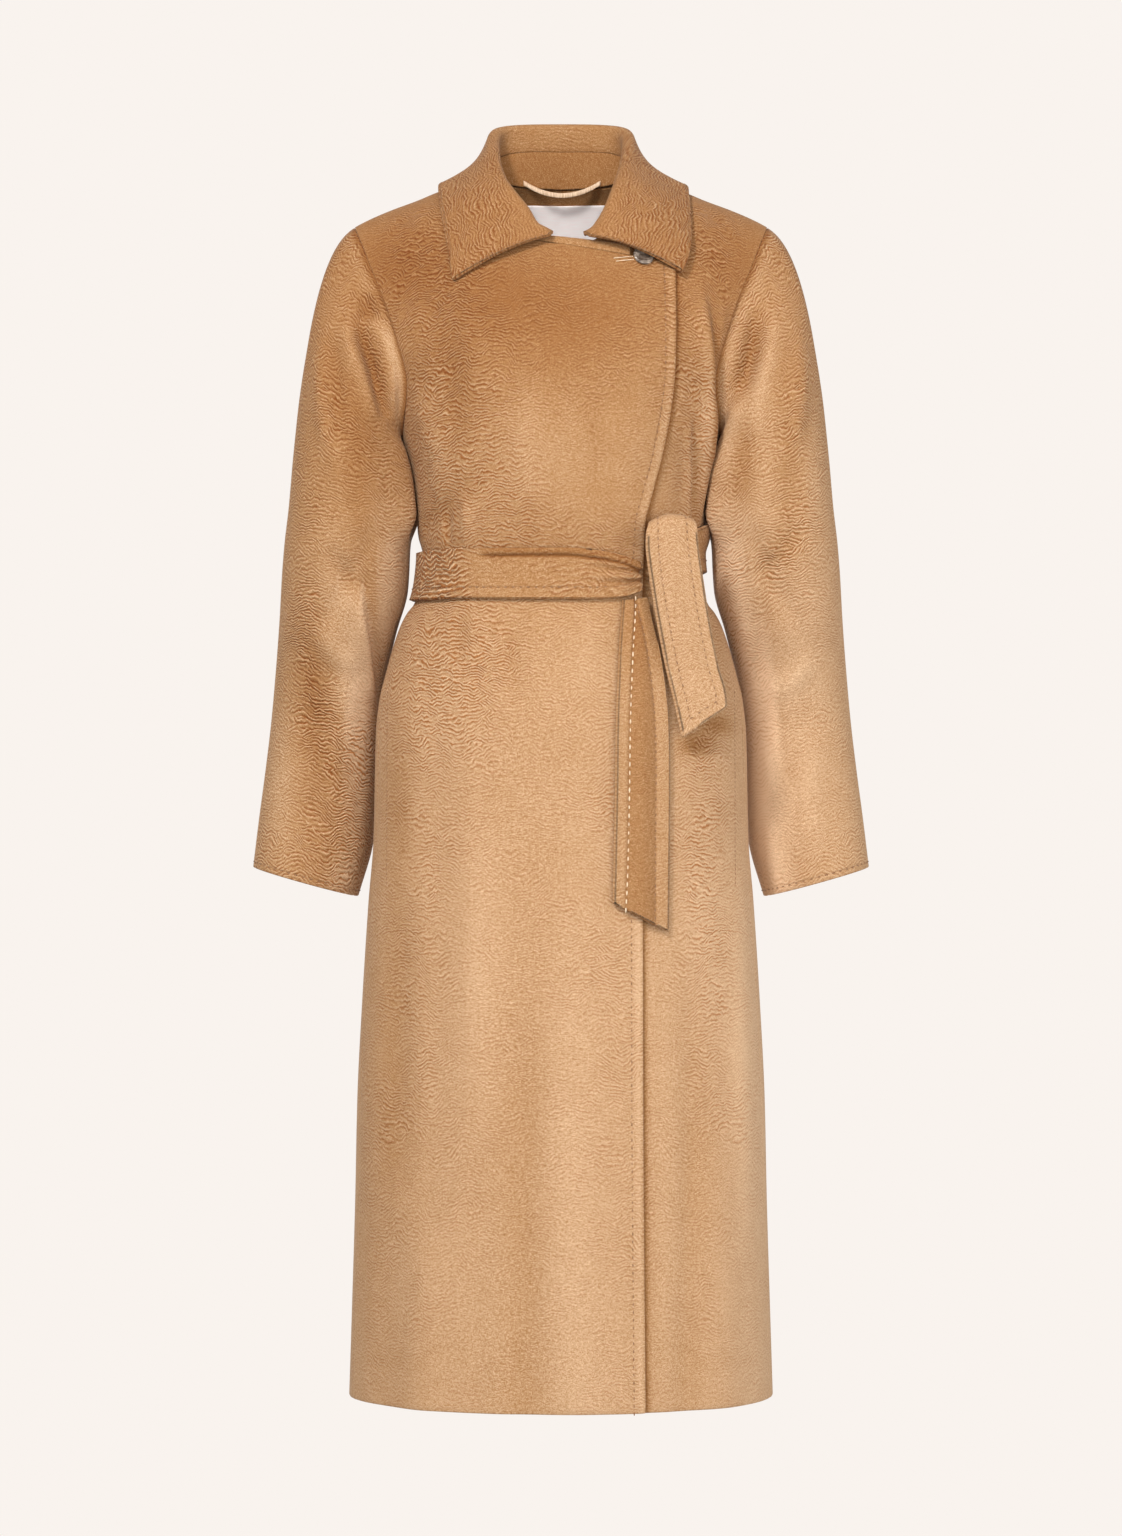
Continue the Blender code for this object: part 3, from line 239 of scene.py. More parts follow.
def creaseHeight(x, z, rows):
    # Ridges and troughs along polylines in the front view, each side with its own width.
    total = np.zeros(np.shape(x))
    place = np.stack([x, z], axis=-1)
    for line, leftWidth, rightWidth, height in rows:
        line = np.array(line)
        runs = np.diff(line, axis=0)
        begins = lengthsAlong(line)
        nearest = np.full(np.shape(x), 1e9)
        share = np.zeros(np.shape(x))
        side = np.zeros(np.shape(x))
        for i, run in enumerate(runs):
            offset = place - line[i]
            t = np.clip(offset @ run / (run @ run), 0.0, 1.0)
            away = offset - t[..., None] * run
            distance = np.linalg.norm(away, axis=-1)
            closer = distance < nearest
            nearest = np.where(closer, distance, nearest)
            share = np.where(closer, (begins[i] + t * (begins[i + 1] - begins[i])) / begins[-1], share)
            side = np.where(closer, away[..., 0], side)
        width = np.where(side > 0, rightWidth, leftWidth)
        taper = np.sin(np.pi * np.clip(share, 0.0, 1.0)) ** 0.7
        if line[-1][1] < -1.09:
            taper = np.where(share > 0.5, 1.0, taper)
        total += height * taper * hump(nearest, width)
    return total


def blobs(x, z, rows, least=0.0):
    total = np.zeros(np.shape(x))
    for middleX, middleZ, halfX, halfZ, strength in rows:
        total += strength * np.exp(-(((x - middleX) / halfX) ** 2) - (((z - middleZ) / halfZ) ** 2))
    return np.clip(total, least, 1.0)


def gridNormals(grid, around=False):
    if around:
        across = np.roll(grid, -1, axis=1) - np.roll(grid, 1, axis=1)
    else:
        across = np.gradient(grid, axis=1)
    return unit(np.cross(across, np.gradient(grid, axis=0)))


def outwardNormals(grid, row, column, direction):
    normals = gridNormals(grid)
    return normals * math.copysign(1.0, float(normals[row, column] @ np.array(direction)))


def refine(grid, times):
    # Halves the spacing of the rows, on a smooth curve through four of them.
    for _ in range(times):
        before = np.concatenate([grid[:1], grid[:-2]])
        after = np.concatenate([grid[2:], grid[-1:]])
        between = (9 * (grid[:-1] + grid[1:]) - before - after) / 16
        made = np.empty((2 * len(grid) - 1,) + grid.shape[1:])
        made[0::2], made[1::2] = grid, between
        grid = made
    return grid


def lengthsAlong(line):
    # How far each point of a line is from its first one, measured along it.
    return np.concatenate([[0.0], np.cumsum(np.linalg.norm(np.diff(line, axis=0), axis=1))])


def alongRows(grid):
    steps = np.linalg.norm(np.diff(grid, axis=1), axis=2)
    return np.concatenate([np.zeros((len(grid), 1)), np.cumsum(steps, axis=1)], axis=1)


def alongColumns(grid):
    return alongRows(np.swapaxes(grid, 0, 1)).T


def addMesh(name, points, faces, material, uv=None, paint=None):
    mesh = bpy.data.meshes.new(name)
    mesh.from_pydata(points.tolist(), [], faces.tolist() if hasattr(faces, "tolist") else faces)
    mesh.validate()
    if uv is not None:
        corners = np.zeros(len(mesh.loops), dtype=np.int64)
        mesh.loops.foreach_get("vertex_index", corners)
        layer = mesh.uv_layers.new(name="flat")
        layer.data.foreach_set("uv", uv[corners].astype(np.float32).ravel())
    for key, values in (paint or {}).items():
        attribute = mesh.attributes.new(key, "FLOAT", "POINT")
        attribute.data.foreach_set("value", values.astype(np.float32))
    mesh.shade_smooth()
    mesh.materials.append(material)
    made = bpy.data.objects.new(name, mesh)
    bpy.context.scene.collection.objects.link(made)
    return made


def addWall(name, grid, normals, thickness, material, rims=(None,) * 4, uv=None, paint=None):
    # A closed wall of cloth on a grid of outer points. rims holds the corner radius at the first and last
    # rows and columns: None is a fully rounded free edge.
    rows, columns = grid.shape[:2]
    free = thickness * 0.49
    first, last, left, right = (free if r is None else r for r in rims)
    outer = grid.copy()
    away = np.zeros_like(grid)
    radius = np.zeros((rows, columns))

    def pull(index, inward, amount):
        direction = unit(inward)
        outer[index] += direction * amount
        away[index] -= direction
        radius[index] = np.maximum(radius[index], amount)

    down = np.diff(grid, axis=0)
    over = np.diff(grid, axis=1)
    pull((0, slice(None)), down[0], first)
    pull((-1, slice(None)), -down[-1], last)
    pull((slice(None), 0), over[:, 0], left)
    pull((slice(None), -1), -over[:, -1], right)
    away = unit(away)
    inner = outer - normals * thickness
    ring = [(0, c) for c in range(columns)] + [(r, columns - 1) for r in range(1, rows)]
    ring += [(rows - 1, c) for c in range(columns - 2, -1, -1)] + [(r, 0) for r in range(rows - 2, 0, -1)]
    at = tuple(np.array(ring).T)
    size = radius[at][:, None]
    profile = []
    for turn, far in ((math.pi / 4, False), (math.pi / 2, False), (math.pi / 2, True), (math.pi / 4, True)):
        depth = thickness - size if far else size
        lift = math.cos(turn) * (-1 if far else 1)
        corner = outer[at] - normals[at] * depth + normals[at] * size * lift
        profile.append(corner + away[at] * size * math.sin(turn))
    count = rows * columns
    points = np.concatenate([outer.reshape(-1, 3), inner.reshape(-1, 3)] + profile)
    index = np.arange(count).reshape(rows, columns)
    quads = np.stack([index[:-1, :-1], index[:-1, 1:], index[1:, 1:], index[1:, :-1]], axis=-1).reshape(-1, 4)
    boundary = index[at]
    loops = [boundary] + [2 * count + k * len(ring) + np.arange(len(ring)) for k in range(4)] + [boundary + count]
    faces = [quads, (quads + count)[:, ::-1]]
    for a, b in zip(loops, loops[1:]):
        faces.append(np.stack([np.roll(a, -1), a, b, np.roll(b, -1)], axis=-1))
    faces = np.concatenate(faces)
    if np.sum(gridNormals(grid) * normals) < 0:
        faces = faces[:, ::-1]

    def spread(values):
        return np.concatenate([values.reshape(count, -1)] * 2 + [values[at].reshape(len(ring), -1)] * 4)

    uv = np.stack([alongRows(grid), alongColumns(grid)], axis=-1) if uv is None else uv
    paint = {key: spread(np.broadcast_to(value, (rows, columns)))[:, 0] for key, value in (paint or {}).items()}
    return addMesh(name, points, faces, material, spread(uv), paint)


def ringFaces(rings, count):
    # Faces of a closed surface made of rings of points, with its two end points listed last.
    index = np.arange(rings * count).reshape(rings, count)
    after = np.roll(index, -1, axis=1)
    faces = np.stack([index[:-1], index[1:], after[1:], after[:-1]], axis=-1).reshape(-1, 4).tolist()
    for j in range(count):
        faces.append((rings * count, index[0, j], after[0, j]))
        faces.append((rings * count + 1, after[-1, j], index[-1, j]))
    return faces


def looks(*values):
    return dict(zip(paintNames, values))


# Materials


def feed(tree, socket, value):
    # A socket gets a plain value, or a link from another node's output.
    if hasattr(value, "is_output"):
        tree.links.new(value, socket)
    else:
        socket.default_value = value


def nodeAdder(tree):
    def add(kind, inputs=None, **settings):
        node = tree.nodes.new(kind)
        for key, value in settings.items():
            setattr(node, key, value)
        for key, value in (inputs or {}).items():
            feed(tree, node.inputs[key], value)
        return node.outputs

    return add


def shaderTools(name):
    material = bpy.data.materials.new(name)
    material.use_nodes = True
    tree = material.node_tree
    shader = tree.nodes["Principled BSDF"]
    add = nodeAdder(tree)

    def maths(operation, a, b=0.0, clamp=False):
        return add("ShaderNodeMath", {0: a, 1: b}, operation=operation, use_clamp=clamp)[0]

    def plus(first, *others):
        for other in others:
            first = maths("ADD", first, other)
        return first

    def times(first, *others):
        for other in others:
            first = maths("MULTIPLY", first, other)
        return first

    def span(value, low, high, toLow=0.0, toHigh=1.0, kind="SMOOTHSTEP"):
        limits = {"Value": value, "From Min": low, "From Max": high, "To Min": toLow, "To Max": toHigh}
        return add("ShaderNodeMapRange", limits, interpolation_type=kind)["Result"]

    def noise(vector, scale, detail=2.0, roughness=0.5):
        inputs = {"Vector": vector, "Scale": scale, "Detail": detail, "Roughness": roughness}
        return add("ShaderNodeTexNoise", inputs)["Fac"]

    def mix(share, a, b, blend="MIX"):
        a, b = (value if hasattr(value, "is_output") else (*value, 1.0) for value in (a, b))
        return add("ShaderNodeMix", {0: share, 6: a, 7: b}, data_type="RGBA", blend_type=blend)[2]

    def place(x, y, z=0.0):
        return add("ShaderNodeCombineXYZ", {0: x, 1: y, 2: z})[0]

    def finish(colour, roughness, height, others, relief=1.0):
        bump = add("ShaderNodeBump", {"Height": height, "Distance": 1.0, "Strength": relief})
        values = {"Base Color": colour, "Roughness": roughness, "Normal": bump[0], **others}
        for key, value in values.items():
            feed(tree, shader.inputs[key], value)
        return material

    return SimpleNamespace(add=add, maths=maths, plus=plus, times=times, span=span, noise=noise, mix=mix, place=place,
                           finish=finish)


def woolMaterial(name, turned=False, coarse=1.0, ripples=1.0):
    # Brushed wool with an uneven rippled nap. turned lays the ripples across instead of along.
    t = shaderTools(name)
    plus, times, noise, span, maths = t.plus, t.times, t.noise, t.span, t.maths
    flat = t.add("ShaderNodeUVMap", uv_map="flat")[0]
    across, down = t.add("ShaderNodeSeparateXYZ", {0: flat})[:2][::-1 if turned else 1]
    napHere, brushedHere, grooveHere, toneHere = (
        t.add("ShaderNodeAttribute", attribute_name=key)["Fac"] for key in paintNames)

    def scaled(acrossScale, downScale, layer):
        return t.place(times(across, acrossScale / coarse), times(down, downScale / coarse), layer)

    def swing(value, share):
        return times(maths("SUBTRACT", value, 0.5), share)

    def rippleSet(layer, lean):
        # Lines that wander: a broad swing, a zigzag and a fine shake.
        shifts = [swing(noise(scaled(*scales, layer + step), 1.0, 1.0), reach * coarse)
                  for step, (*scales, reach) in zip((0.0, 3.0, 6.0), wool["wander"])]
        shift = plus(*shifts, times(across, lean))
        phase = times(plus(down, shift), 2 * math.pi / (wool["ripple"] * coarse))
        return plus(times(maths("SINE", phase), 0.5), 0.5), maths("COSINE", phase)

    # Two sets of lines, each in its own short patches, so that they break and fork.
    patch = span(noise(scaled(42.0, 80.0, 15.0), 1.0, 1.0), 0.47, 0.53)
    ridge, flank = (plus(a, times(maths("SUBTRACT", b, a), patch))
                    for a, b in zip(rippleSet(0.0, 0.06), rippleSet(20.0, -0.1)))
    valleyShade = maths("POWER", maths("SUBTRACT", 1.0, ridge), 2.0)
    broken = span(noise(scaled(85.0, 230.0, 9.0), 1.0, 2.0, 0.5), 0.34, 0.56)
    there = t.place(across, down)
    patches = span(noise(there, 17.0, 2.0, 0.55), 0.34, 0.66)
    strength = plus(times(napHere, 1.55), times(patches, 0.45))
    strength = times(strength, maths("SUBTRACT", 1.0, times(brushedHere, 0.65)))
    strength = times(strength, plus(times(broken, 0.75), 0.25), ripples)

    grain = noise(scaled(300.0, 430.0, 12.0), 1.0, 3.0, 0.75)
    fleck = noise(scaled(900.0, 1100.0, 18.0), 1.0, 2.0, 0.6)
    mottle = noise(there, 60.0, 3.0, 0.6)
    drift = noise(there, 7.0, 2.0, 0.5)

    speckle = times(plus(swing(grain, 1.9), swing(fleck, 2.6)), plus(0.8, times(brushedHere, 0.6)))
    # The tone lifts one flank of every ripple: a painted highlight.
    tone = plus(toneHere, swing(drift, 0.3), swing(mottle, 0.34), speckle,
                times(flank, strength, 0.34), times(strength, 0.22), times(brushedHere, 0.05))
    # The lightest colour is reached mostly by the painted light on the sleeves' sides towards the body.
    colour = wool["deep"]
    for low, high, key in ((-0.2, 0.5, "middle"), (0.5, 1.3, "pale"), (1.3, 2.1, "light")):
        colour = t.mix(span(tone, low, high, kind="LINEAR"), colour, wool[key])
    # The ripples' valleys and the stitch grooves are darkened towards the valley colour: painted shade.
    seam = maths("DIVIDE", grooveHere, stitches["grooveWidth"])
    seam = maths("EXPONENT", times(times(seam, seam), -1.0))
    paintedShade = maths("MAXIMUM", maths("MULTIPLY", valleyShade, strength, clamp=True), times(seam, 0.22))
    colour = t.mix(paintedShade, colour, wool["valleyShade"], "MULTIPLY")

    height = plus(times(ridge, strength, wool["rippleHeight"] * coarse), times(grain, wool["grainHeight"]),
                  times(mottle, wool["mottleHeight"]))
    height = maths("SUBTRACT", height, times(seam, stitches["grooveDepth"]))
    soft = {"Sheen Weight": wool["sheen"], "Sheen Roughness": 0.5, "Sheen Tint": (1.0, 0.86, 0.7, 1.0),
            "Specular IOR Level": 0.22}
    return t.finish(colour, span(tone, 0.0, 1.0, 0.93, 0.8), height, soft)


def satinMaterial(name, light, dark, roughness):
    t = shaderTools(name)
    flat = t.add("ShaderNodeUVMap", uv_map="flat")[0]
    across, down = t.add("ShaderNodeSeparateXYZ", {0: flat})[:2]
    threads = t.maths("SINE", t.times(down, 2 * math.pi / 0.00042))
    floats = t.maths("SINE", t.times(t.plus(across, t.times(down, 2.5)), 2 * math.pi / 0.0011))
    streak = t.noise(t.place(t.times(across, 90.0), t.times(down, 1300.0)), 1.0, 2.0)
    height = t.plus(t.times(threads, 0.000025), t.times(floats, 0.000012), t.times(streak, 0.00004))
    return t.finish(t.mix(t.span(streak, 0.25, 0.75), dark, light),
                    t.span(streak, 0.2, 0.8, roughness - 0.06, roughness + 0.1), height, {"Sheen Weight": 0.15}, 0.8)


def hornMaterial():
    t = shaderTools("hornButton")
    place = t.add("ShaderNodeTexCoord")["Object"]
    stretched = t.add("ShaderNodeVectorMath", {0: place, 1: (140.0, 140.0, 620.0)}, operation="MULTIPLY")[0]
    streak = t.noise(stretched, 1.0, 4.0, 0.6)
    share = t.span(t.times(streak, t.noise(place, 190.0, 3.0, 0.5)), 0.18, 0.42)
    return t.finish(t.mix(share, button["colour"], button["rim"]), t.span(streak, 0.2, 0.8, 0.16, 0.34),
                    t.times(streak, 0.00004), {"Coat Weight": 0.5, "Coat Roughness": 0.08})


def threadMaterial(name, colour):
    t = shaderTools(name)
    twist = t.noise(t.add("ShaderNodeTexCoord")["Object"], 2400.0, 2.0)
    darker = tuple(c * 0.62 for c in colour)
    shade = t.mix(t.span(twist, 0.3, 0.7), darker, colour)
    return t.finish(shade, 0.6, t.times(twist, 0.0001), {"Sheen Weight": 0.2}, 0.8)


bodyWool = woolMaterial("woolBody")
sleeveWool = woolMaterial("woolSleeve", ripples=0.9)
collarWool = woolMaterial("woolCollar", ripples=0.72)
standWool = woolMaterial("woolStand", ripples=0.35)
beltWool = woolMaterial("woolBelt", turned=True, coarse=1.25, ripples=1.9)
tailWool = woolMaterial("woolTail", ripples=0.5)
whiteSatin = satinMaterial("labelSatin", (0.97, 0.9, 0.89), (0.9, 0.82, 0.81), 0.42)
# The label glows faintly: painted light, lifting it out of the shade inside the neck.
labelShader = whiteSatin.node_tree.nodes["Principled BSDF"]
labelShader.inputs["Emission Color"].default_value = (1.0, 0.88, 0.86, 1.0)
labelShader.inputs["Emission Strength"].default_value = 0.12
goldSatin = satinMaterial("loopSatin", (0.74, 0.55, 0.38), (0.44, 0.27, 0.15), 0.3)
horn = hornMaterial()
camelThread = threadMaterial("threadCamel", (0.26, 0.115, 0.04))
paleThread = threadMaterial("threadPale", (0.92, 0.74, 0.52))
print("materials made")

# Fronts and back

fronts = {
    "stitchInset": 0.011, "pocketStitchX": 0.1598, "pocketStitchZ": (-0.462, -0.64), "under": 0.002,
    "armRows": 52, "outerSteps": (30, 14, 5, 40), "innerSteps": (22, 14, 5, 56), "backSteps": (44, 4, 16),
    "edgeHighlightAt": 0.005, "edgeHighlightWidth": 0.0035, "pale": 0.3, "shadeAt": 0.001, "shadeWidth": 0.0032, "shade": 0.8,
}
pocketZ = (-0.446, -0.575)
pocketHalfAngle = 8.0
pocketOff = 0.0014
gapes = {1: 0.004, -1: 0.0015}  # how far each pocket opens
# Broad folds, as straight ridges in the front view: ends, width and height, which is below 0 for a trough.
frontFolds = (
    (0.136, -0.1, 0.139, -0.19, 0.013, 0.004),
    (0.139, -0.19, 0.131, -0.305, 0.013, 0.0035),
    (0.119, -0.215, 0.118, -0.3, 0.011, -0.0025),
    (-0.118, -0.96, -0.124, -1.11, 0.02, 0.004),
    (-0.158, -0.93, -0.166, -1.11, 0.022, -0.0035),
    (-0.075, -0.9, -0.082, -1.11, 0.022, -0.0025),
    (0.145, -0.88, 0.15, -1.11, 0.018, 0.003),
)
backFolds = (
    (0.07, -0.64, 0.086, -1.11, 0.03, -0.0045),
    (-0.052, -0.7, -0.07, -1.11, 0.03, -0.004),
    (0.012, -0.56, 0.006, -1.11, 0.032, 0.004),
    (0.1, -0.12, 0.08, -0.3, 0.022, 0.0035),
    (-0.108, -0.13, -0.084, -0.3, 0.022, 0.003),
)
# Finer creases, placed one by one: points in the front view, width on the left and on the right, height.
frontCreases = (
    (((0.1345, -0.096), (0.141, -0.149), (0.1448, -0.199), (0.14, -0.255), (0.1352, -0.312)), 0.0022, 0.008, -0.0034),
    (((0.129, -0.1), (0.1352, -0.149), (0.1388, -0.199), (0.1345, -0.255), (0.1296, -0.312)), 0.009, 0.0022, 0.0022),
    (((0.119, -0.212), (0.1195, -0.26), (0.118, -0.312)), 0.006, 0.002, 0.0014),
    (((0.1215, -0.212), (0.1222, -0.26), (0.1205, -0.312)), 0.002, 0.006, -0.0018),
    (((-0.105, -0.296), (-0.104, -0.318), (-0.1026, -0.333)), 0.0026, 0.006, -0.0018),
    (((-0.088, -0.28), (-0.085, -0.31), (-0.0845, -0.333)), 0.004, 0.007, 0.0012),
    (((-0.09, -0.388), (-0.093, -0.415), (-0.09, -0.45)), 0.005, 0.008, -0.0012),
    (((-0.042, -0.388), (-0.045, -0.43), (-0.038, -0.48)), 0.008, 0.011, -0.001),
    (((0.02, -0.388), (0.023, -0.42), (0.018, -0.47)), 0.007, 0.01, 0.001),
    (((-0.15, -0.33), (-0.11, -0.3), (-0.07, -0.262)), 0.008, 0.012, -0.0014),
    (((-0.135, -0.18), (-0.118, -0.23), (-0.108, -0.29)), 0.01, 0.013, 0.0016),
    (((-0.108, -0.13), (-0.096, -0.19), (-0.09, -0.25)), 0.012, 0.015, -0.0014),
    (((-0.03, -0.17), (-0.034, -0.23), (-0.03, -0.3)), 0.015, 0.017, 0.0012),
    (((0.033, -0.19), (0.03, -0.25), (0.034, -0.305)), 0.013, 0.016, -0.001),
    (((-0.145, -0.64), (-0.15, -0.78), (-0.148, -0.93)), 0.016, 0.016, -0.0018),
    (((-0.07, -0.56), (-0.076, -0.72), (-0.072, -0.88)), 0.018, 0.022, 0.0014),
    (((0.01, -0.64), (0.005, -0.84), (0.012, -1.1)), 0.024, 0.026, 0.0016),
    (((-0.03, -0.76), (-0.034, -0.93), (-0.031, -1.11)), 0.018, 0.018, -0.0012),
    (((0.115, -0.7), (0.118, -0.86), (0.112, -1.11)), 0.012, 0.014, -0.0014),
    (((0.162, -0.62), (0.165, -0.8), (0.169, -1.0)), 0.012, 0.012, 0.0014),
)
backCreases = (
    (((0.05, -0.25), (0.045, -0.29), (0.047, -0.325)), 0.006, 0.01, -0.0016),
    (((-0.075, -0.24), (-0.069, -0.29), (-0.072, -0.325)), 0.009, 0.006, 0.0014),
    (((-0.02, -0.26), (-0.023, -0.3), (-0.019, -0.328)), 0.006, 0.008, -0.0013),
    (((0.09, -0.39), (0.097, -0.44), (0.093, -0.52)), 0.008, 0.011, -0.0014),
    (((-0.048, -0.39), (-0.045, -0.45), (-0.051, -0.54)), 0.01, 0.008, 0.0013),
    (((0.026, -0.39), (0.03, -0.44), (0.025, -0.5)), 0.007, 0.009, 0.0012),
    (((-0.125, -0.4), (-0.131, -0.47), (-0.134, -0.6)), 0.011, 0.009, -0.0015),
    (((0.13, -0.6), (0.136, -0.8), (0.14, -1.0)), 0.016, 0.018, 0.0016),
)
# Where the nap ripples strongly, seen from the front: middle, half sizes and strength.
nap = (
    (-0.125, -0.06, 0.06, 0.06, 0.5), (0.13, -0.05, 0.05, 0.06, 0.5), (-0.105, -0.19, 0.055, 0.13, 0.85),
    (0.125, -0.19, 0.035, 0.11, 0.6), (-0.095, -0.44, 0.075, 0.09, 0.7), (-0.13, -0.64, 0.06, 0.24, 0.3),
    (0.05, -0.52, 0.03, 0.16, 0.25), (0.128, -0.56, 0.026, 0.2, 0.45), (0.14, -0.85, 0.036, 0.26, 0.2),
    (-0.15, -0.95, 0.034, 0.18, 0.25), (-0.02, -0.33, 0.11, 0.03, 0.25), (0.06, -0.8, 0.03, 0.28, 0.15),
    (0.01, -0.14, 0.08, 0.07, 0.3), (-0.06, -0.28, 0.06, 0.04, 0.3), (-0.03, -0.8, 0.08, 0.35, 0.2),
)
brushed = (
    (0.005, -0.19, 0.06, 0.09, 0.4), (-0.04, -0.8, 0.06, 0.28, 0.6), (-0.03, -0.52, 0.045, 0.1, 0.4),
    (0.1, -0.9, 0.025, 0.22, 0.5), (0.118, -0.085, 0.016, 0.028, 0.55), (-0.03, -1.04, 0.1, 0.08, 0.45),
)
# How pale the wool is, from 0 to 1: by height, then spots as for the nap. Some spots are painted light and shade: the
# two just under the short end's tip are its painted shadow, and the dark one down the wearer's right side and the
# pale one down the left are painted shade and light on the sides.
toneRows = (
    (-1.115, 0.88), (-0.8, 0.88), (-0.5, 0.82), (-0.4, 0.66), (-0.33, 0.5), (-0.25, 0.48), (-0.15, 0.36),
    (-0.1, 0.22), (-0.05, 0.12), (0.02, 0.08), (0.07, 0.1),
)
toneAndShadeSpots = (
    (-0.114, -0.155, 0.05, 0.09, -0.16), (0.0, -0.265, 0.08, 0.04, 0.1), (0.01, -0.13, 0.09, 0.06, -0.46),
    (0.13, -1.0, 0.012, 0.25, -0.05), (-0.175, -0.8, 0.045, 0.3, -0.24), (0.18, -0.85, 0.022, 0.36, 0.3),
    (0.122, -0.512, 0.016, 0.01, -0.85), (0.142, -0.494, 0.016, 0.01, -0.75), (-0.16, -1.08, 0.05, 0.07, -0.08),
    (-0.03, -0.8, 0.06, 0.42, -0.18), (-0.149, -0.56, 0.014, 0.09, -0.3), (0.131, -0.69, 0.018, 0.08, 0.22),
    (0.135, -0.23, 0.012, 0.05, 0.3), (-0.14, -0.07, 0.04, 0.034, -0.5), (0.15, -0.07, 0.035, 0.034, -0.25),
    (-0.06, -0.1, 0.04, 0.035, -0.25), (0.076, -1.0, 0.012, 0.16, -0.2),
)
toneCurve = smoothCurve(*columnsOf(toneRows))


def panelPaint(grid, creases, groove=1.0):
    x, z = grid[..., 0], grid[..., 2]
    # Folds are painted paler on their ridges and darker in their troughs: painted light and shade.
    tone = toneCurve(z) + blobs(x, z, toneAndShadeSpots, -1.0) + wool["foldShading"] * creaseHeight(x, z, creases)
    return looks(blobs(x, z, nap), blobs(x, z, brushed), groove, tone)


def denseRows(step):
    heights = []
    for low, high in zip(rowHeights, rowHeights[1:]):
        heights += list(np.linspace(low, high, max(int(math.ceil((high - low) / step)), 1) + 1)[:-1])
    return np.array(heights)


def denseArmRows(count):
    rise = np.linspace(0, 1, count)
    return (len(armholeRows) - 1) * (1 - (1 - rise) ** 1.7)


def neckZ(x, centreZ):
    dip = np.sqrt(np.maximum(1 - (x / neckX) ** 2, 0.0))
    return shoulderZ(neckX) - (shoulderZ(neckX) - centreZ) * dip


def shoulderTops(side, steps):
    first, last = angleOf(neckX, shoulderZ(neckX)), angleOf(shoulderX, shoulderZ(shoulderX))
    angles = np.linspace(first, last, steps + 1)
    x = np.full(steps + 1, neckX)
    for _ in range(60):
        x = bodyHalf(shoulderZ(x)) * np.sin(np.radians(angles)) ** (2 / bodyRound)
    x[0], x[-1] = neckX, shoulderX
    return np.stack([side * x, shoulderZ(x)], axis=-1)


def frontTops(side, edgeX, centreZ, overlapSteps, neckSteps, chordSteps, shoulderSteps):
    over = np.linspace(edgeX, 0, overlapSteps)
    overlap = np.stack([over, centreZ - overlapDrop * np.abs(over) / outerEdgeTopX], axis=-1)
    x = neckX * np.sin(np.radians(np.linspace(0, frontNeckTurns[-1], neckSteps + 1)[1:]))
    neck = np.stack([side * x, neckZ(x, centreZ)], axis=-1)
    shoulderLine = shoulderTops(side, shoulderSteps)
    t = np.linspace(0, 1, chordSteps + 1)[1:-1, None]
    chord = neck[-1] + (shoulderLine[0] - neck[-1]) * t
    return np.concatenate([overlap, neck, chord, shoulderLine])


def gape(side, z):
    low, high = pocketZ[1] + 0.01, pocketZ[0] - 0.03
    share = np.clip((z - low) / (high - low), 0.0, 1.0)
    return np.degrees(gapes[side] * np.sin(np.pi * share) / bodyHalf(z))


def armRise(sideName, k):
    steps = k / (len(armholeRows) - 1)
    curve = armholeCurves[sideName + "Z"]
    low, high = curve(0), curve(len(armholeRows) - 1)
    return 0.5 * steps + 0.5 * np.sin(steps * np.pi / 2), (curve(k) - low) / (high - low)


def frontPlaces(side, edgeAt, tops):
    seam = side * (sideAngle - 0.06)
    last = side * armholeRows[-1][1]
    edges = angleOf(edgeAt(tops[:, 1]), tops[:, 1])
    shares = (angleOf(tops[:, 0], tops[:, 1]) - edges) / (last - edges)
    shares[0], shares[-1] = 0.0, 1.0
    z = denseRows(cloth["rowStep"])[:, None]
    edge = angleOf(edgeAt(z), z)
    lowAngles = edge + (seam - side * gape(side, z) - edge) * shares
    lowZ = np.broadcast_to(z, lowAngles.shape)
    k = denseArmRows(fronts["armRows"])[:, None]
    atCentre, atArmhole = armRise("front", k)
    rise = atCentre + (atArmhole - atCentre) * shares * shares
    highZ = armpitZ + (tops[:, 1] - armpitZ) * rise
    edge = angleOf(edgeAt(highZ), highZ)
    highAngles = edge + (side * armholeCurves["frontAngle"](k) - edge) * shares
    return np.concatenate([lowAngles, highAngles]), np.concatenate([lowZ, highZ]), shares


def backPlaces():
    shoulderSteps, chordSteps, neckSteps = fronts["backSteps"]
    left = shoulderTops(1, shoulderSteps)[::-1]
    x = neckX * np.sin(np.radians(np.linspace(backNeckTurns[0], 0, neckSteps)))
    neck = np.stack([x, neckZ(x, neckBackZ)], axis=-1)
    t = np.linspace(0, 1, chordSteps + 1)[1:-1, None]
    chord = left[-1] + (neck[0] - left[-1]) * t
    half = np.concatenate([left, chord, neck])
    tops = np.concatenate([half, half[-2::-1] * np.array([-1.0, 1.0])])
    last = armholeRows[-1][3]
    shares = (180 - angleOf(tops[:, 0], tops[:, 1], back=True)) / last
    shares[0], shares[-1] = 1.0, -1.0
    seam = 180 - sideAngle - 0.06
    z = denseRows(cloth["rowStep"])[:, None]
    lowAngles = 180 - seam * shares + 0 * z
    k = denseArmRows(fronts["armRows"])[:, None]
    atCentre, atArmhole = armRise("back", k)
    rise = atCentre + (atArmhole - atCentre) * shares * shares
    highZ = armpitZ + (tops[:, 1] - armpitZ) * rise
    highAngles = 180 - armholeCurves["backAngle"](k) * shares
    z = np.concatenate([np.broadcast_to(z, lowAngles.shape), highZ])
    return np.concatenate([lowAngles, highAngles]), z, shares


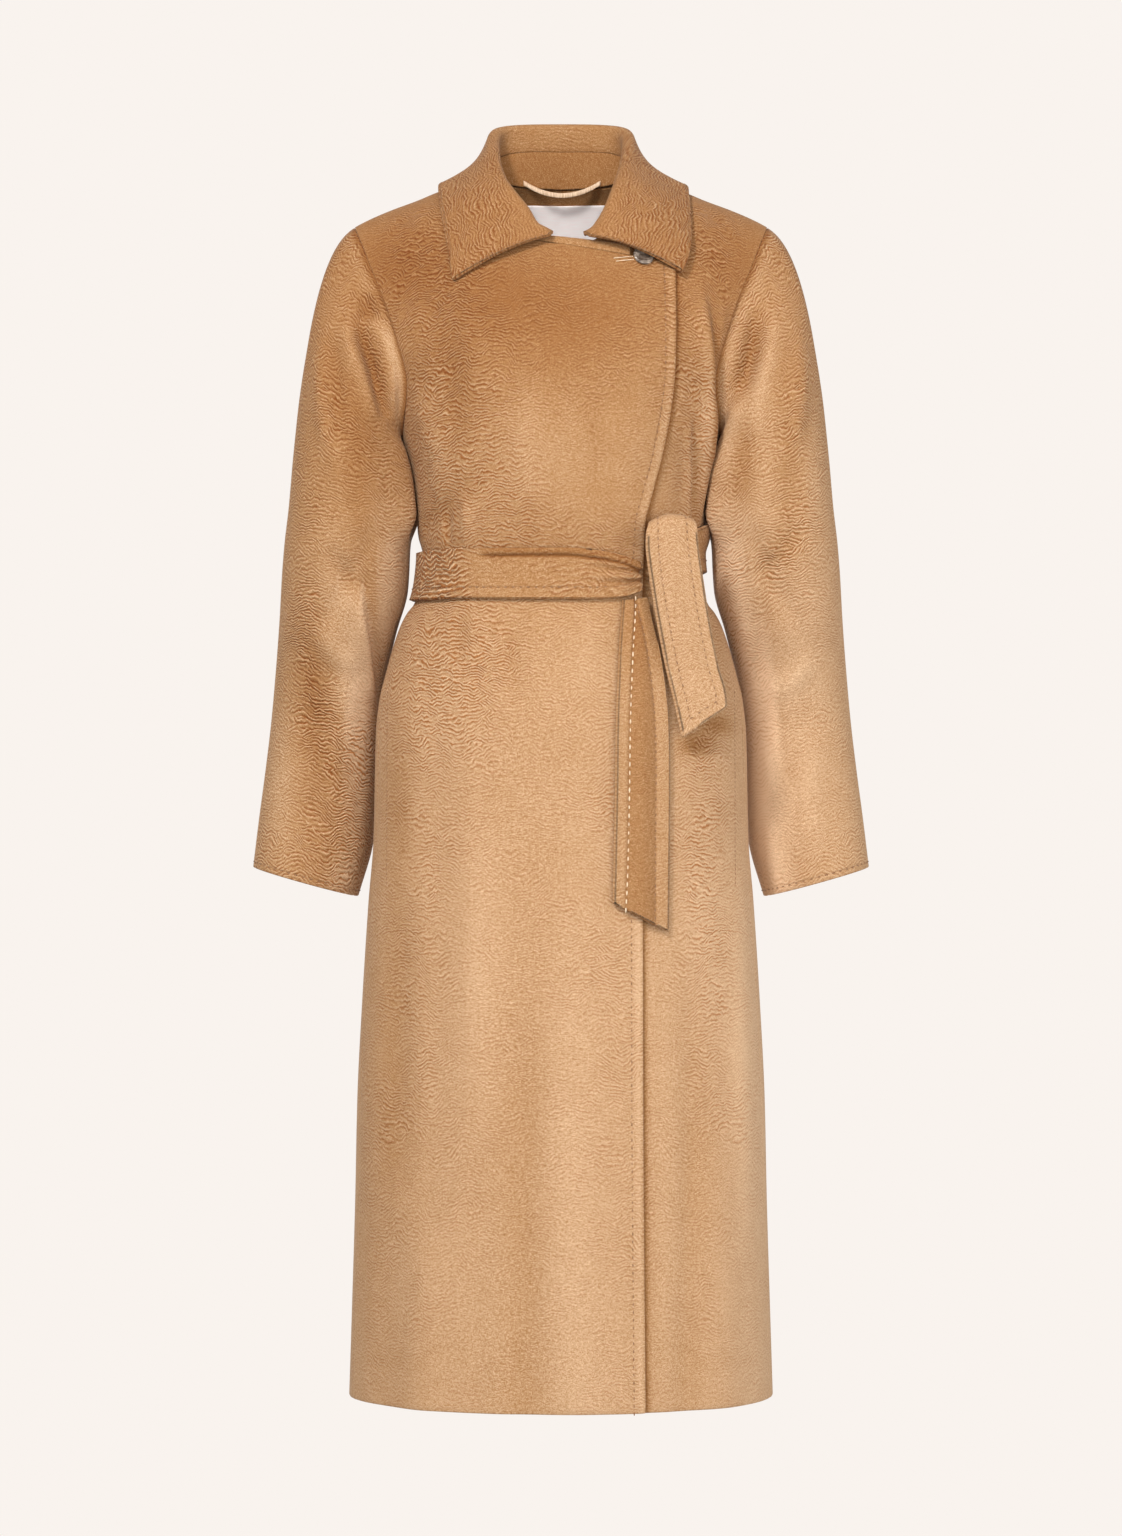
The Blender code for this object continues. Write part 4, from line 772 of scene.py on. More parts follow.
def raised(angles, z, shares, isFront, lifted, folds, creases):
    points, normals = skin(angles, z), skinNormal(angles, z)
    onShoulder = (z > armpitZ) & (shoulderZ(points[..., 0]) - z < 1e-4)
    flat = unit(normals * np.array([1.0, 0.0, 1.0]))
    normals = np.where(onShoulder[..., None], flat, normals)
    points[..., 1] += np.where(onShoulder, cloth["seamGap"] / 2 * (-1 if isFront else 1), 0.0)
    fade = ramp(1 - np.abs(shares), 0.0, 0.05)
    out = fold(points, folds) * fade
    fine = creaseHeight(points[..., 0], points[..., 2], creases) * cloth["foldGain"]
    out += fine * ramp(1 - np.abs(shares), 0.0, 0.08) * (ramp(shares, 0.0, 0.05) if isFront else 1.0)
    if lifted:
        out += lap(points[..., 0], z)
    grid = points + normals * out[..., None]
    shaped = gridNormals(grid)
    shaped *= np.sign(np.sum(shaped * normals, axis=-1, keepdims=True))
    steady = ramp(shoulderZ(points[..., 0]) - z, 0.004, 0.02)[..., None]
    return grid, unit(shaped * steady + normals * (1 - steady))


def centredAlong(grid):
    along = alongRows(grid)
    rows = np.stack([grid[..., 0], along], axis=-1)
    middle = np.array([np.interp(0.0, *(row[np.argsort(row[:, 0])].T)) for row in rows])
    return along - middle[:, None]


def panelUv(grid):
    return np.stack([centredAlong(grid), alongColumns(grid)], axis=-1)


def innerEdge(z):
    return np.full(np.shape(z), innerEdgeX)


def frontPanel(side, edgeAt, edgeX, centreZ, lifted, *steps):
    places = frontPlaces(side, edgeAt, frontTops(side, edgeX, centreZ, *steps))
    return raised(*places, True, lifted, frontFolds, frontCreases)


seamRim = cloth["seamRound"]
frontRightGrid, frontRightNormals = frontPanel(-1, outerEdge, outerEdgeTopX, neckFrontZ, True, *fronts["outerSteps"])
edgeDistance = alongRows(frontRightGrid)
frontPaint = panelPaint(frontRightGrid, frontCreases, np.minimum(np.abs(edgeDistance - fronts["stitchInset"]), 1.0))
# A paler strip along the outer front's rolled edge: painted highlight.
frontPaint["tone"] += fronts["pale"] * hump(edgeDistance - fronts["edgeHighlightAt"], fronts["edgeHighlightWidth"])
frontRight = addWall("frontRight", frontRightGrid, frontRightNormals, cloth["thickness"], bodyWool,
                     (None, seamRim, None, seamRim), panelUv(frontRightGrid), frontPaint)

frontLeftGrid, frontLeftNormals = frontPanel(
    1, innerEdge, innerEdgeX, neckFrontZ - fronts["under"], False, *fronts["innerSteps"])
underPaint = panelPaint(frontLeftGrid, frontCreases)
pastEdge = frontLeftGrid[..., 0] - outerEdge(frontLeftGrid[..., 2])
underPaint["tone"] -= fronts["shade"] * hump(pastEdge - fronts["shadeAt"], fronts["shadeWidth"])
frontLeft = addWall("frontLeft", frontLeftGrid, frontLeftNormals, cloth["thickness"], bodyWool,
                    (None, seamRim, None, seamRim), panelUv(frontLeftGrid), underPaint)

backGrid, backNormals = raised(*backPlaces(), False, False, backFolds, backCreases)
back = addWall("backPanel", backGrid, backNormals, cloth["thickness"], bodyWool,
               (None, seamRim, seamRim, seamRim), panelUv(backGrid), panelPaint(backGrid, backCreases))
print("fronts and back made")

# Sleeves

sleeve = {
    "stitchInset": 0.0055, "steps": 6, "capRows": 30, "ringStep": 0.0058, "leave": 0.155, "arrive": 0.565,
    "hugAt": 0.031, "hugWidth": 0.02, "hugGap": 0.0018, "hugReach": 0.05,
}
# The sleeve tube's sections from the armpit down, then its folds by angle and height.
sleeveRows = (
    (-0.225, 0.2455, 0.1468, -0.005, 0.066, 0.068, 0.3),
    (-0.26, 0.2495, 0.1412, -0.003, 0.066, 0.068, 0.22),
    (-0.3, 0.2535, 0.14, 0.001, 0.066, 0.066, 0.16),
    (-0.33, 0.2575, 0.1408, 0.006, 0.065, 0.065, 0.13),
    (-0.36, 0.2605, 0.1428, 0.015, 0.065, 0.063, 0.12),
    (-0.4, 0.2635, 0.154, 0.028, 0.064, 0.06, 0.11),
    (-0.446, 0.268, 0.165, 0.047, 0.061, 0.06, 0.11),
    (-0.5, 0.2735, 0.1705, 0.058, 0.059, 0.059, 0.12),
    (-0.55, 0.2795, 0.173, 0.06, 0.058, 0.058, 0.15),
    (-0.59, 0.2845, 0.1765, 0.059, 0.057, 0.057, 0.19),
    (-0.64, 0.29, 0.191, 0.056, 0.057, 0.057, 0.277),
)
sleeveNames = ("z", "outer", "inner", "middle", "front", "back", "tilt")
sleeveRound = 2.15
sleeveSeamAngle = 19.0
underarmAngle = 160.0
sleeveFolds = (
    (60.0, -0.08, 118.0, -0.23, 11.0, -0.004),
    (38.0, -0.11, 88.0, -0.29, 12.0, 0.004),
    (120.0, -0.3, 70.0, -0.43, 11.0, -0.0035),
    (112.0, -0.37, 104.0, -0.56, 13.0, 0.0035),
    (-130.0, -0.33, -60.0, -0.4, 14.0, -0.004),
    (-120.0, -0.4, -70.0, -0.47, 13.0, 0.0035),
)
# Creases of each sleeve, x measured outwards from the centre. The right is the wearer's.
sleeveCreases = {
    "right": (
        (((0.1731, -0.092), (0.1745, -0.108), (0.174, -0.124)), 0.012, 0.012, -0.0034),
        (((0.1786, -0.117), (0.1603, -0.136), (0.1502, -0.16), (0.1493, -0.214)), 0.007, 0.007, 0.004),
        (((0.1869, -0.121), (0.1805, -0.145), (0.1722, -0.165), (0.1603, -0.213)), 0.006, 0.006, -0.0042),
        (((0.1997, -0.121), (0.1887, -0.152), (0.1786, -0.184), (0.1695, -0.214)), 0.007, 0.01, 0.003),
        (((0.213, -0.13), (0.206, -0.175), (0.202, -0.235)), 0.008, 0.011, -0.0022),
        (((0.187, -0.35), (0.186, -0.385), (0.1806, -0.42), (0.1751, -0.471)), 0.007, 0.011, 0.0024),
        (((0.182, -0.35), (0.181, -0.385), (0.1755, -0.42), (0.1695, -0.478)), 0.008, 0.0024, -0.0024),
        (((0.215, -0.33), (0.196, -0.36), (0.176, -0.372)), 0.008, 0.01, -0.002),
        (((0.23, -0.4), (0.208, -0.43), (0.188, -0.438)), 0.01, 0.009, 0.0016),
        (((0.228, -0.47), (0.226, -0.54), (0.232, -0.6)), 0.013, 0.015, -0.0016),
    ),
    "left": (
        (((0.1805, -0.11), (0.1759, -0.146), (0.1695, -0.166), (0.1585, -0.204)), 0.008, 0.007, -0.0036),
        (((0.199, -0.115), (0.19, -0.155), (0.18, -0.195), (0.172, -0.23)), 0.008, 0.01, 0.0028),
        (((0.1685, -0.178), (0.157, -0.22), (0.147, -0.269)), 0.008, 0.009, 0.0026),
        (((0.21, -0.2), (0.206, -0.26), (0.209, -0.33)), 0.013, 0.015, -0.0018),
        (((0.22, -0.31), (0.198, -0.345), (0.176, -0.352)), 0.008, 0.01, -0.0018),
        (((0.187, -0.306), (0.185, -0.4), (0.189, -0.526)), 0.013, 0.015, -0.0016),
        (((0.235, -0.43), (0.214, -0.452), (0.196, -0.466)), 0.009, 0.011, 0.0016),
        (((0.233, -0.5), (0.229, -0.57), (0.235, -0.62)), 0.014, 0.013, 0.0014),
    ),
}
sleeveBackCreases = {
    "right": (
        (((0.205, -0.1), (0.19, -0.15), (0.17, -0.2)), 0.008, 0.011, -0.0024),
        (((0.22, -0.13), (0.208, -0.18), (0.188, -0.235)), 0.01, 0.008, 0.0022),
        (((0.24, -0.34), (0.21, -0.362), (0.18, -0.352)), 0.008, 0.01, -0.0022),
        (((0.245, -0.385), (0.215, -0.402), (0.185, -0.392)), 0.009, 0.008, 0.0018),
    ),
    "left": (
        (((0.2, -0.095), (0.188, -0.14), (0.168, -0.185)), 0.009, 0.01, -0.0022),
        (((0.223, -0.14), (0.213, -0.19), (0.195, -0.25)), 0.011, 0.009, 0.002),
        (((0.242, -0.35), (0.215, -0.378), (0.185, -0.372)), 0.009, 0.011, -0.002),
        (((0.246, -0.405), (0.22, -0.424), (0.19, -0.42)), 0.01, 0.008, 0.0017),
    ),
}
# Each sleeve's tones and nap by height, then spots and rippled or brushed patches seen from the front. The left
# sleeve's tones run paler than the right's: painted light, as falling from the wearer's left.
sleeveTones = {
    "right": ((0.02, 0.05), (-0.06, 0.12), (-0.14, 0.2), (-0.25, 0.32), (-0.4, 0.5), (-0.66, 0.5)),
    "left": ((0.02, 0.14), (-0.06, 0.3), (-0.14, 0.46), (-0.25, 0.64), (-0.4, 0.82), (-0.66, 0.78)),
}
sleeveSpots = {
    "right": ((0.186, -0.235, 0.014, 0.09, -0.32), (0.188, -0.475, 0.02, 0.075, 0.45),
              (0.168, -0.5, 0.014, 0.09, 0.35), (0.231, -0.455, 0.013, 0.035, -0.3),
              (0.235, -0.36, 0.012, 0.06, 0.1), (0.222, -0.62, 0.03, 0.04, -0.1)),
    "left": ((0.17, -0.5, 0.017, 0.15, 0.55), (0.188, -0.55, 0.012, 0.08, 0.35),
             (0.168, -0.262, 0.012, 0.045, -0.38), (0.205, -0.18, 0.022, 0.05, -0.22),
             (0.236, -0.27, 0.012, 0.06, 0.15)),
}
sleeveRippled = {
    "right": ((0.236, -0.399, 0.015, 0.065, 0.5), (0.223, -0.478, 0.019, 0.036, 0.5),
              (0.192, -0.527, 0.026, 0.03, 0.55), (0.192, -0.59, 0.026, 0.04, 0.6)),
    "left": ((0.16, -0.4, 0.012, 0.06, 0.35), (0.215, -0.33, 0.025, 0.03, 0.25)),
}
sleeveBrushed = {
    "right": ((0.206, -0.371, 0.016, 0.055, 0.95), (0.195, -0.462, 0.013, 0.036, 0.85),
              (0.263, -0.547, 0.013, 0.06, 0.7)),
    "left": ((0.185, -0.56, 0.035, 0.07, 0.55), (0.215, -0.44, 0.04, 0.07, 0.6), (0.19, -0.22, 0.02, 0.06, 0.4)),
}
sleeveNap = {
    "right": ((0.02, 0.6), (-0.06, 0.52), (-0.14, 0.45), (-0.25, 0.46), (-0.36, 0.28), (-0.5, 0.36), (-0.66, 0.42)),
    "left": ((0.02, 0.7), (-0.06, 0.58), (-0.14, 0.5), (-0.25, 0.4), (-0.36, 0.26), (-0.5, 0.16), (-0.66, 0.12)),
}
sleeveColumns = columnsOf(sleeveRows)
sleeveCurves = {name: smoothCurve(sleeveColumns[0], column) for name, column in zip(sleeveNames, sleeveColumns)}


def sleeveLoop(steps):
    # Start points round the left armhole at the coarse stations' parameter, with the leaving directions.
    count = len(armholeRows) - 1
    t = np.linspace(0, 2 * count, 2 * count * steps, endpoint=False)
    onFront = t <= count
    k = np.where(onFront, count - t, t - count)
    angle = np.where(onFront, armholeCurves["frontAngle"](k), 180 - armholeCurves["backAngle"](k))
    z = np.where(onFront, armholeCurves["frontZ"](k), armholeCurves["backZ"](k))
    start = skin(angle, z)
    coarse = slice(None, None, steps)
    points, normals = start[coarse], skinNormal(angle[coarse], z[coarse])
    normals[0] = unit(normals[0] * np.array([1.0, 0.0, 1.0]))
    away = unit(np.cross(np.roll(points, -1, axis=0) - np.roll(points, 1, axis=0), normals))
    away *= np.where(away @ np.array([1.0, 0.0, 1.0]) < 0, -1.0, 1.0)[:, None]
    upward = np.maximum(away[:, 2:], 0.0)
    leaving = unit(away + upward * normals - upward * np.array([0.0, 0.0, 1.0]))
    turn = np.concatenate([np.arange(2 * count), [2 * count]])
    closed = np.concatenate([leaving, leaving[:1]])
    return t, start, unit(np.stack([np.interp(t, turn, closed[:, i]) for i in range(3)], axis=-1))


def sleeveRings(t, z):
    count = len(armholeRows) - 1
    front = sleeveSeamAngle + (underarmAngle - sleeveSeamAngle) * t / count
    behind = underarmAngle + (sleeveSeamAngle + 360 - underarmAngle) * (t - count) / count
    angle = np.where(t <= count, front, behind)
    turn, z = np.radians(angle)[None, :], np.asarray(z)[:, None]
    outer, inner = sleeveCurves["outer"](z), sleeveCurves["inner"](z)
    half = (outer - inner) / 2
    x = half * signedPower(np.cos(turn), 2 / sleeveRound)
    side = signedPower(np.sin(turn), 2 / sleeveRound)
    depth = np.where(side > 0, sleeveCurves["front"](z), sleeveCurves["back"](z))
    y = sleeveCurves["middle"](z) - depth * side
    return np.stack([inner + half + x, y, z + sleeveCurves["tilt"](z) * x], axis=-1), angle


def makeSleeve(side):
    t, start, leaving = sleeveLoop(sleeve["steps"])
    start = start + leaving * 2 * cloth["seamGap"]
    topZ, cuffZ = sleeveRows[0][0], sleeveRows[-1][0]
    rings, angle = sleeveRings(t, np.linspace(topZ, cuffZ, int(round((topZ - cuffZ) / sleeve["ringStep"])) + 1))
    nextRing, _ = sleeveRings(t, [topZ + (cuffZ - topZ) / 12])
    end = rings[0]
    reach = np.linalg.norm(end - start, axis=1, keepdims=True)
    first = start + leaving * reach * sleeve["leave"]
    second = end + unit(end - nextRing[0]) * reach * sleeve["arrive"]
    s = np.linspace(0, 1, sleeve["capRows"] + 1)[:-1, None, None]
    cap = (1 - s) ** 3 * start + 3 * s * (1 - s) ** 2 * first + 3 * s * s * (1 - s) * second + s ** 3 * end
    grid = np.concatenate([cap, rings])
    normals = gridNormals(grid, around=True)
    turn = (angle + 180) % 360 - 180
    total = np.zeros(grid.shape[:2])
    for angle0, z0, angle1, z1, width, height in sleeveFolds:
        part = (grid[..., 2] - z0) / (z1 - z0)
        away = (turn[None, :] - angle0 - (angle1 - angle0) * part) / width
        swell = height * np.sin(np.pi * np.clip(part, 0, 1)) * np.exp(-away * away)
        total += np.where((part > 0) & (part < 1), swell, 0.0)
    total[0] = 0.0
    x, z = grid[..., 0], grid[..., 2]
    fade = ramp(alongColumns(grid), 0.006, 0.022) * cloth["foldGain"]
    for rows, facing in ((sleeveCreases, -1), (sleeveBackCreases, 1)):
        total += creaseHeight(x, z, rows[side]) * ramp(facing * normals[..., 1], 0.05, 0.45) * fade
    grid = grid + normals * total[..., None]
    # Where the arm meets the body, the sleeve lies against it.
    x, y, z = grid[..., 0], grid[..., 1], grid[..., 2]
    depth = np.where(y < 0, bodyFront(z), bodyBack(z))
    torso = bodyHalf(z) * np.maximum(1 - (np.abs(y) / depth) ** bodyRound, 0.0) ** (1 / bodyRound)
    near = ramp(sleeve["hugReach"] - (x - torso), 0.0, 0.04)
    hug = hump(np.abs(y) - sleeve["hugAt"], sleeve["hugWidth"])
    hug = hug * ramp(-z, 0.205, 0.24) * ramp(z, -0.334, -0.296) * near
    grid[..., 0] += np.minimum(torso + sleeve["hugGap"] - x, 0.0) * hug
    normals = gridNormals(grid, around=True)
    mirror = np.array([-1.0 if side == "right" else 1.0, 1.0, 1.0])
    return grid * mirror, normals * mirror


def sleeveHalf(grid, normals, first, last):
    picks = np.arange(first, last + 1) % grid.shape[1]
    half = grid[:, picks].copy()
    half[:, 0] += cloth["seamGap"] / 2 * unit(half[:, 1] - half[:, 0])
    half[:, -1] += cloth["seamGap"] / 2 * unit(half[:, -2] - half[:, -1])
    return half, normals[:, picks]


def sleevePaint(side, half, places, outward, down):
    x, z = np.abs(places[..., 0]), places[..., 2]
    rows = sleeveCreases if half == "Front" else sleeveBackCreases
    creased = creaseHeight(x, z, rows[side])
    rippled, smooth = blobs(x, z, sleeveRippled[side]), blobs(x, z, sleeveBrushed[side])
    # Folds are painted paler on their ridges and darker in their troughs: painted light and shade.
    tone = smoothCurve(*columnsOf(sleeveTones[side]))(z) + wool["foldShading"] * creased
    tone = tone + blobs(x, z, sleeveSpots[side], -1.0) * (half == "Front")
    tone = tone - 0.85 * hump(down, 0.0034) + 0.16 * hump(down - 0.011, 0.006)
    towardsBody = -outward[..., 0] * (1 if side == "left" else -1)
    tone = tone + 0.28 * smooth - 0.42 * rippled
    # The side facing the body is painted paler, up into the lightest colour: painted light against the shade that
    # falls between sleeve and body.
    tone = tone + (1.1 if side == "left" else 0.8) * ramp(towardsBody, 0.2, 0.85) * ramp(-z, 0.27, 0.34)
    strength = smoothCurve(*columnsOf(sleeveNap[side]))(z) - 60 * creased + rippled
    return looks(np.clip(strength, 0, 1), np.clip(140 * creased + smooth, 0, 1),
                 np.abs(down[-1:] - down - sleeve["stitchInset"]), tone)


sleeves = {}
cuffLines = []
station = (len(armholeRows) - 1) * sleeve["steps"]
for side in ("left", "right"):
    grid, normals = makeSleeve(side)
    for half, first, last in (("Front", 0, station), ("Back", station, 2 * station)):
        places, outward = sleeveHalf(grid, normals, first, last)
        down = alongColumns(places)
        name = "sleeve" + side.capitalize() + half
        uv = np.stack([alongRows(places), down - down[-1:]], axis=-1)
        sleeves[name] = addWall(name, places, outward, cloth["thickness"], sleeveWool,
                                (seamRim, None, seamRim, seamRim), uv, sleevePaint(side, half, places, outward, down))
        cuffLines.append((places, outward, down[-1:] - down))
print("sleeves made")

# Collar

collar = {"stitchInset": 0.0035, "fallSteps": 20, "rollSteps": 14, "insideSteps": 5, "edgeRows": 20}
# Stations round the collar, from each wing's tip to the centre back.
wingNames = ("x", "y", "z", "roll", "edgeX", "edgeZ", "droop", "swell", "inside")
rightWing = (
    (0.01, -0.0905, -0.0492, 0.0068, 0.0975, -0.091, 0.0, 0.004, 0.003),
    (0.0223, -0.0875, -0.042, 0.0068, 0.1005, -0.074, 0.0, 0.004, 0.003),
    (0.0341, -0.078, -0.0245, 0.0065, 0.1035, -0.057, 0.0, 0.0035, 0.0045),
    (0.0475, -0.066, -0.0065, 0.0065, 0.107, -0.04, 0.0, 0.0035, 0.008),
    (0.056, -0.05, 0.0075, 0.0065, 0.1105, -0.022, 0.15, 0.003, 0.011),
    (0.0612, -0.03, 0.0235, 0.0065, 0.1125, -0.006, 0.5, 0.001, 0.01),
    (0.0628, -0.008, 0.0385, 0.0065, 0.112, 0.0041, 0.8, 0.0, 0.013),
)
leftWing = (
    (0.024, -0.0905, -0.049, 0.0068, 0.109, -0.0837, 0.0, 0.004, 0.003),
    (0.0333, -0.0875, -0.043, 0.0068, 0.1145, -0.07, 0.0, 0.0045, 0.003),
    (0.0432, -0.078, -0.0265, 0.0065, 0.1175, -0.055, 0.0, 0.0045, 0.004),
    (0.0505, -0.066, -0.0085, 0.0065, 0.119, -0.039, 0.0, 0.0035, 0.008),
    (0.0555, -0.05, 0.0065, 0.0065, 0.119, -0.022, 0.15, 0.003, 0.011),
    (0.06, -0.03, 0.022, 0.0065, 0.1175, -0.007, 0.5, 0.001, 0.01),
    (0.0625, -0.008, 0.038, 0.0065, 0.1155, 0.0027, 0.8, 0.0, 0.013),
)
collarBack = (
    (0.0632, 0.013, 0.0505, 0.0065, 0.107, -0.002, 0.8, 0.0, 0.016),
    (0.06, 0.032, 0.06, 0.0065, 0.09, -0.005, 0.5, 0.0, 0.019),
    (0.0475, 0.0455, 0.0645, 0.0065, 0.065, -0.007, 0.25, 0.0, 0.02),
    (0.026, 0.0525, 0.0665, 0.0065, 0.034, -0.008, 0.1, 0.0, 0.02),
)
collarCentre = (0.0, 0.055, 0.067, 0.0065, 0.0, -0.008, 0.1, 0.0, 0.02)
wingStraight = {0: 1.0, 1: 0.45}
wingHollow = 0.006
collarOff = 0.0012
shoulderRoom = 0.0014
standFirst = 3
endWrap = 66
fullWrapAt = 0.018
neckEnds = (-0.01, 0.023)
bandTopZ = -0.048


def collarStations():
    def flipped(row):
        values = dict(zip(wingNames, row))
        values["x"], values["edgeX"] = -values["x"], -values["edgeX"]
        return values

    stations = [flipped(row) for row in rightWing + collarBack] + [dict(zip(wingNames, collarCentre))]
    stations += [dict(zip(wingNames, row)) for row in collarBack[::-1] + leftWing[::-1]]
    for i, station in enumerate(stations):
        station["back"] = len(rightWing) <= i < len(stations) - len(rightWing)
        station["straight"] = wingStraight.get(min(i, len(stations) - 1 - i), 0.0)
    return stations


def necklinePoint(x, back):
    z = neckZ(x, neckBackZ if back else neckFrontZ)
    angle = angleOf(x, z, back=back)
    point = skin(angle, z)
    if not back and x < 0:
        point = point + skinNormal(angle, z) * lap(x, z)
    return point


def neckPath():
    front = [0.0] + [neckX * math.sin(math.radians(turn)) for turn in frontNeckTurns] + [neckX]
    behind = [neckX * math.sin(math.radians(turn)) for turn in backNeckTurns]
    path = [necklinePoint(x, False) for x in [neckEnds[0]] + [-x for x in front[1:]]]
    path += [necklinePoint(-x, True) for x in behind] + [necklinePoint(0.0, True)]
    path += [necklinePoint(x, True) for x in behind[::-1]]
    path += [necklinePoint(x, False) for x in front[:1:-1] + [neckEnds[1]]]
    return np.array(path), lengthsAlong(path)


def pathPoint(path, share):
    points, steps = path
    return np.array([np.interp(share * steps[-1], steps, points[:, i]) for i in range(3)])


def rollEnd(out, down, radius):
    distance = math.hypot(out, down)
    least = math.radians(endWrap)
    if distance < radius:
        return least
    heading = math.atan2(-down, out) % (2 * math.pi)
    return least + (heading - math.acos(radius / distance) - least) * float(ramp(distance, radius, fullWrapAt))


def collarSections(path):
    stations = collarStations()
    middles = np.array([[s["x"], s["y"], s["z"]] for s in stations])
    runs = np.gradient(middles, axis=0)
    lengths = lengthsAlong(middles)
    sections = []
    for station, middle, run, length in zip(stations, middles, runs, lengths):
        x, z = station["edgeX"], station["edgeZ"]
        angle = angleOf(x, z, back=station["back"])
        off = collarOff + cloth["doubled"] + (0.0 if station["back"] else float(lap(x, z)))
        place = skin(angle, z)
        off += shoulderRoom * float(ramp(-abs(place[1]), -0.03, 0.0))
        edge = place + skinNormal(angle, z) * off
        run = unit(run)
        reach = edge - middle
        down = reach - np.array([0.0, 0.0, station["droop"] * np.linalg.norm(reach)])
        down = unit(down - run * (down @ run))
        outward = np.cross(run, down)
        if outward @ np.array([middle[0], middle[1], 0.0]) < 0:
            outward = -outward
        begin = middle + outward * station["roll"]
        chord = edge - begin
        fall = down * np.linalg.norm(chord) * (1 - station["straight"]) + chord * station["straight"]
        belly = begin + fall * 0.45 + outward * station["swell"] * 2
        belly = belly + np.array([0.0, 0.0, wingHollow * station["straight"]])
        t = np.linspace(0, 1, collar["fallSteps"] + 1)[:-1, None]
        points = list((1 - t) ** 2 * edge + 2 * t * (1 - t) * belly + t * t * begin)
        foot = pathPoint(path, length / lengths[-1]) - middle
        wrap = rollEnd(foot @ outward, foot @ down, station["roll"])
        for turn in np.linspace(0, wrap, collar["rollSteps"]):
            points.append(middle + station["roll"] * (outward * math.cos(turn) - down * math.sin(turn)))
        inward = -outward * math.sin(wrap) - down * math.cos(wrap)
        last = points[-1]
        for share in np.linspace(0, 1, collar["insideSteps"] + 1)[1:]:
            points.append(last + inward * station["inside"] * share)
        sections.append(points)
    return np.array(sections)


path = neckPath()
leaf = refine(collarSections(path), 3)
leafNormals = outwardNormals(leaf, len(leaf) // 2, 0, (0.0, 1.0, 0.0))
fromEdge = alongRows(leaf)
down = alongColumns(leaf)
fromEnds = np.minimum(down, down[-1:] - down)
nearest = np.where(fromEdge < 0.08, np.minimum(fromEdge, fromEnds), 1.0)
wingNap = 0.75 * ramp(np.abs(leaf[..., 0]), 0.02, 0.06) * ramp(0.09 - fromEdge, 0.0, 0.03) + 0.15
collarLeaf = addWall("collarLeaf", leaf, leafNormals, cloth["doubled"], collarWool, (None, None, None, seamRim),
                     np.stack([down, fromEdge], axis=-1),
                     looks(wingNap, 0.1, np.abs(nearest - collar["stitchInset"]),
                           0.06 + 0.25 * ramp(leaf[..., 1], 0.0, 0.04) * ramp(leaf[..., 2], 0.035, 0.06)))

middles = leaf[:, collar["fallSteps"] + 1]
lengths = lengthsAlong(middles)
begin = 8 * standFirst
grid, outward = [], []
for i in range(begin, len(leaf) - begin):
    top, above = leaf[i, -1], leaf[i, -2]
    foot = pathPoint(path, lengths[i] / lengths[-1])
    radial = unit(np.array([foot[0], foot[1] + 0.01, 0.0]))
    foot = foot - radial * (2 * cloth["thickness"] + cloth["seamGap"])
    start = top + unit(top - above) * cloth["seamGap"]
    grid.append([start + (foot - start) * t for t in np.linspace(0, 1, 8)])
    face = unit(np.cross(unit(leaf[i + 1, -1] - leaf[i - 1, -1]), foot - start))
    outward.append([face * math.copysign(1.0, -float(face @ radial))] * 8)
collarStand = addWall("collarStand", np.array(grid), np.array(outward), cloth["thickness"], standWool,
                      (seamRim,) * 4, paint=looks(0.1, 0.4, 1.0, -0.05))

tops = frontTops(-1, outerEdgeTopX, neckFrontZ, overlapSteps=6, neckSteps=3, chordSteps=1, shoulderSteps=1)[2:7]
bandEndX = neckX * math.sin(math.radians(frontNeckTurns[0]))
tops[-1] = (-bandEndX, neckZ(bandEndX, neckFrontZ))
bandX = np.linspace(tops[0, 0], tops[-1, 0], 40)
bandLow = np.interp(-bandX, -tops[:, 0], tops[:, 1])
grid, outward = [], []
for share in np.linspace(0, 1, 6):
    z = (bandLow + cloth["seamGap"]) * (1 - share) + (bandTopZ + (bandLow - neckFrontZ) * 0.75) * share
    normal = skinNormal(angleOf(bandX, z), z)
    swell = 0.0006 * math.sin(math.pi * share)
    grid.append(skin(angleOf(bandX, z), z) + normal * (lap(bandX, z) + swell)[:, None])
    outward.append(normal)
neckBand = addWall("neckBand", np.array(grid), np.array(outward), cloth["thickness"], standWool,
                   (seamRim, None, seamRim, seamRim), paint=looks(0.2, 0.3, 1.0, 0.3))
print("collar made")

# Belt

belt = {
    "stitchInset": 0.0115, "turnedStrip": 0.0095, "off": 0.0016, "longOff": 0.003, "shortArch": 0.0075,
    "shortArchLow": -0.345, "longLeft": 0.0135, "longRight": 0.015, "stripSoft": 0.0016,
}
knot = {"middle": (0.0985, -0.104, -0.344), "half": (0.02, 0.007, 0.033), "turn": 15.0, "ridge": 0.0062}
# The waist's part: angle, middle height and half width. Its ridges near the knot: place, height and width.
beltRows = (
    (-297.0, -0.333, 0.02), (-283.0, -0.33, 0.022), (-270.0, -0.329, 0.023), (-225.0, -0.333, 0.025),
    (-180.0, -0.343, 0.025), (-135.0, -0.352, 0.025), (-90.0, -0.356, 0.0235), (-45.0, -0.3565, 0.025),
    (0.0, -0.3565, 0.0255), (12.0, -0.358, 0.024), (22.0, -0.359, 0.0205), (30.0, -0.3595, 0.014),
)
beltRidges = ((-0.62, 0.0016, 0.16), (-0.05, 0.002, 0.15), (0.55, 0.0018, 0.15), (-0.34, -0.0026, 0.12),
              (0.26, -0.0028, 0.12))
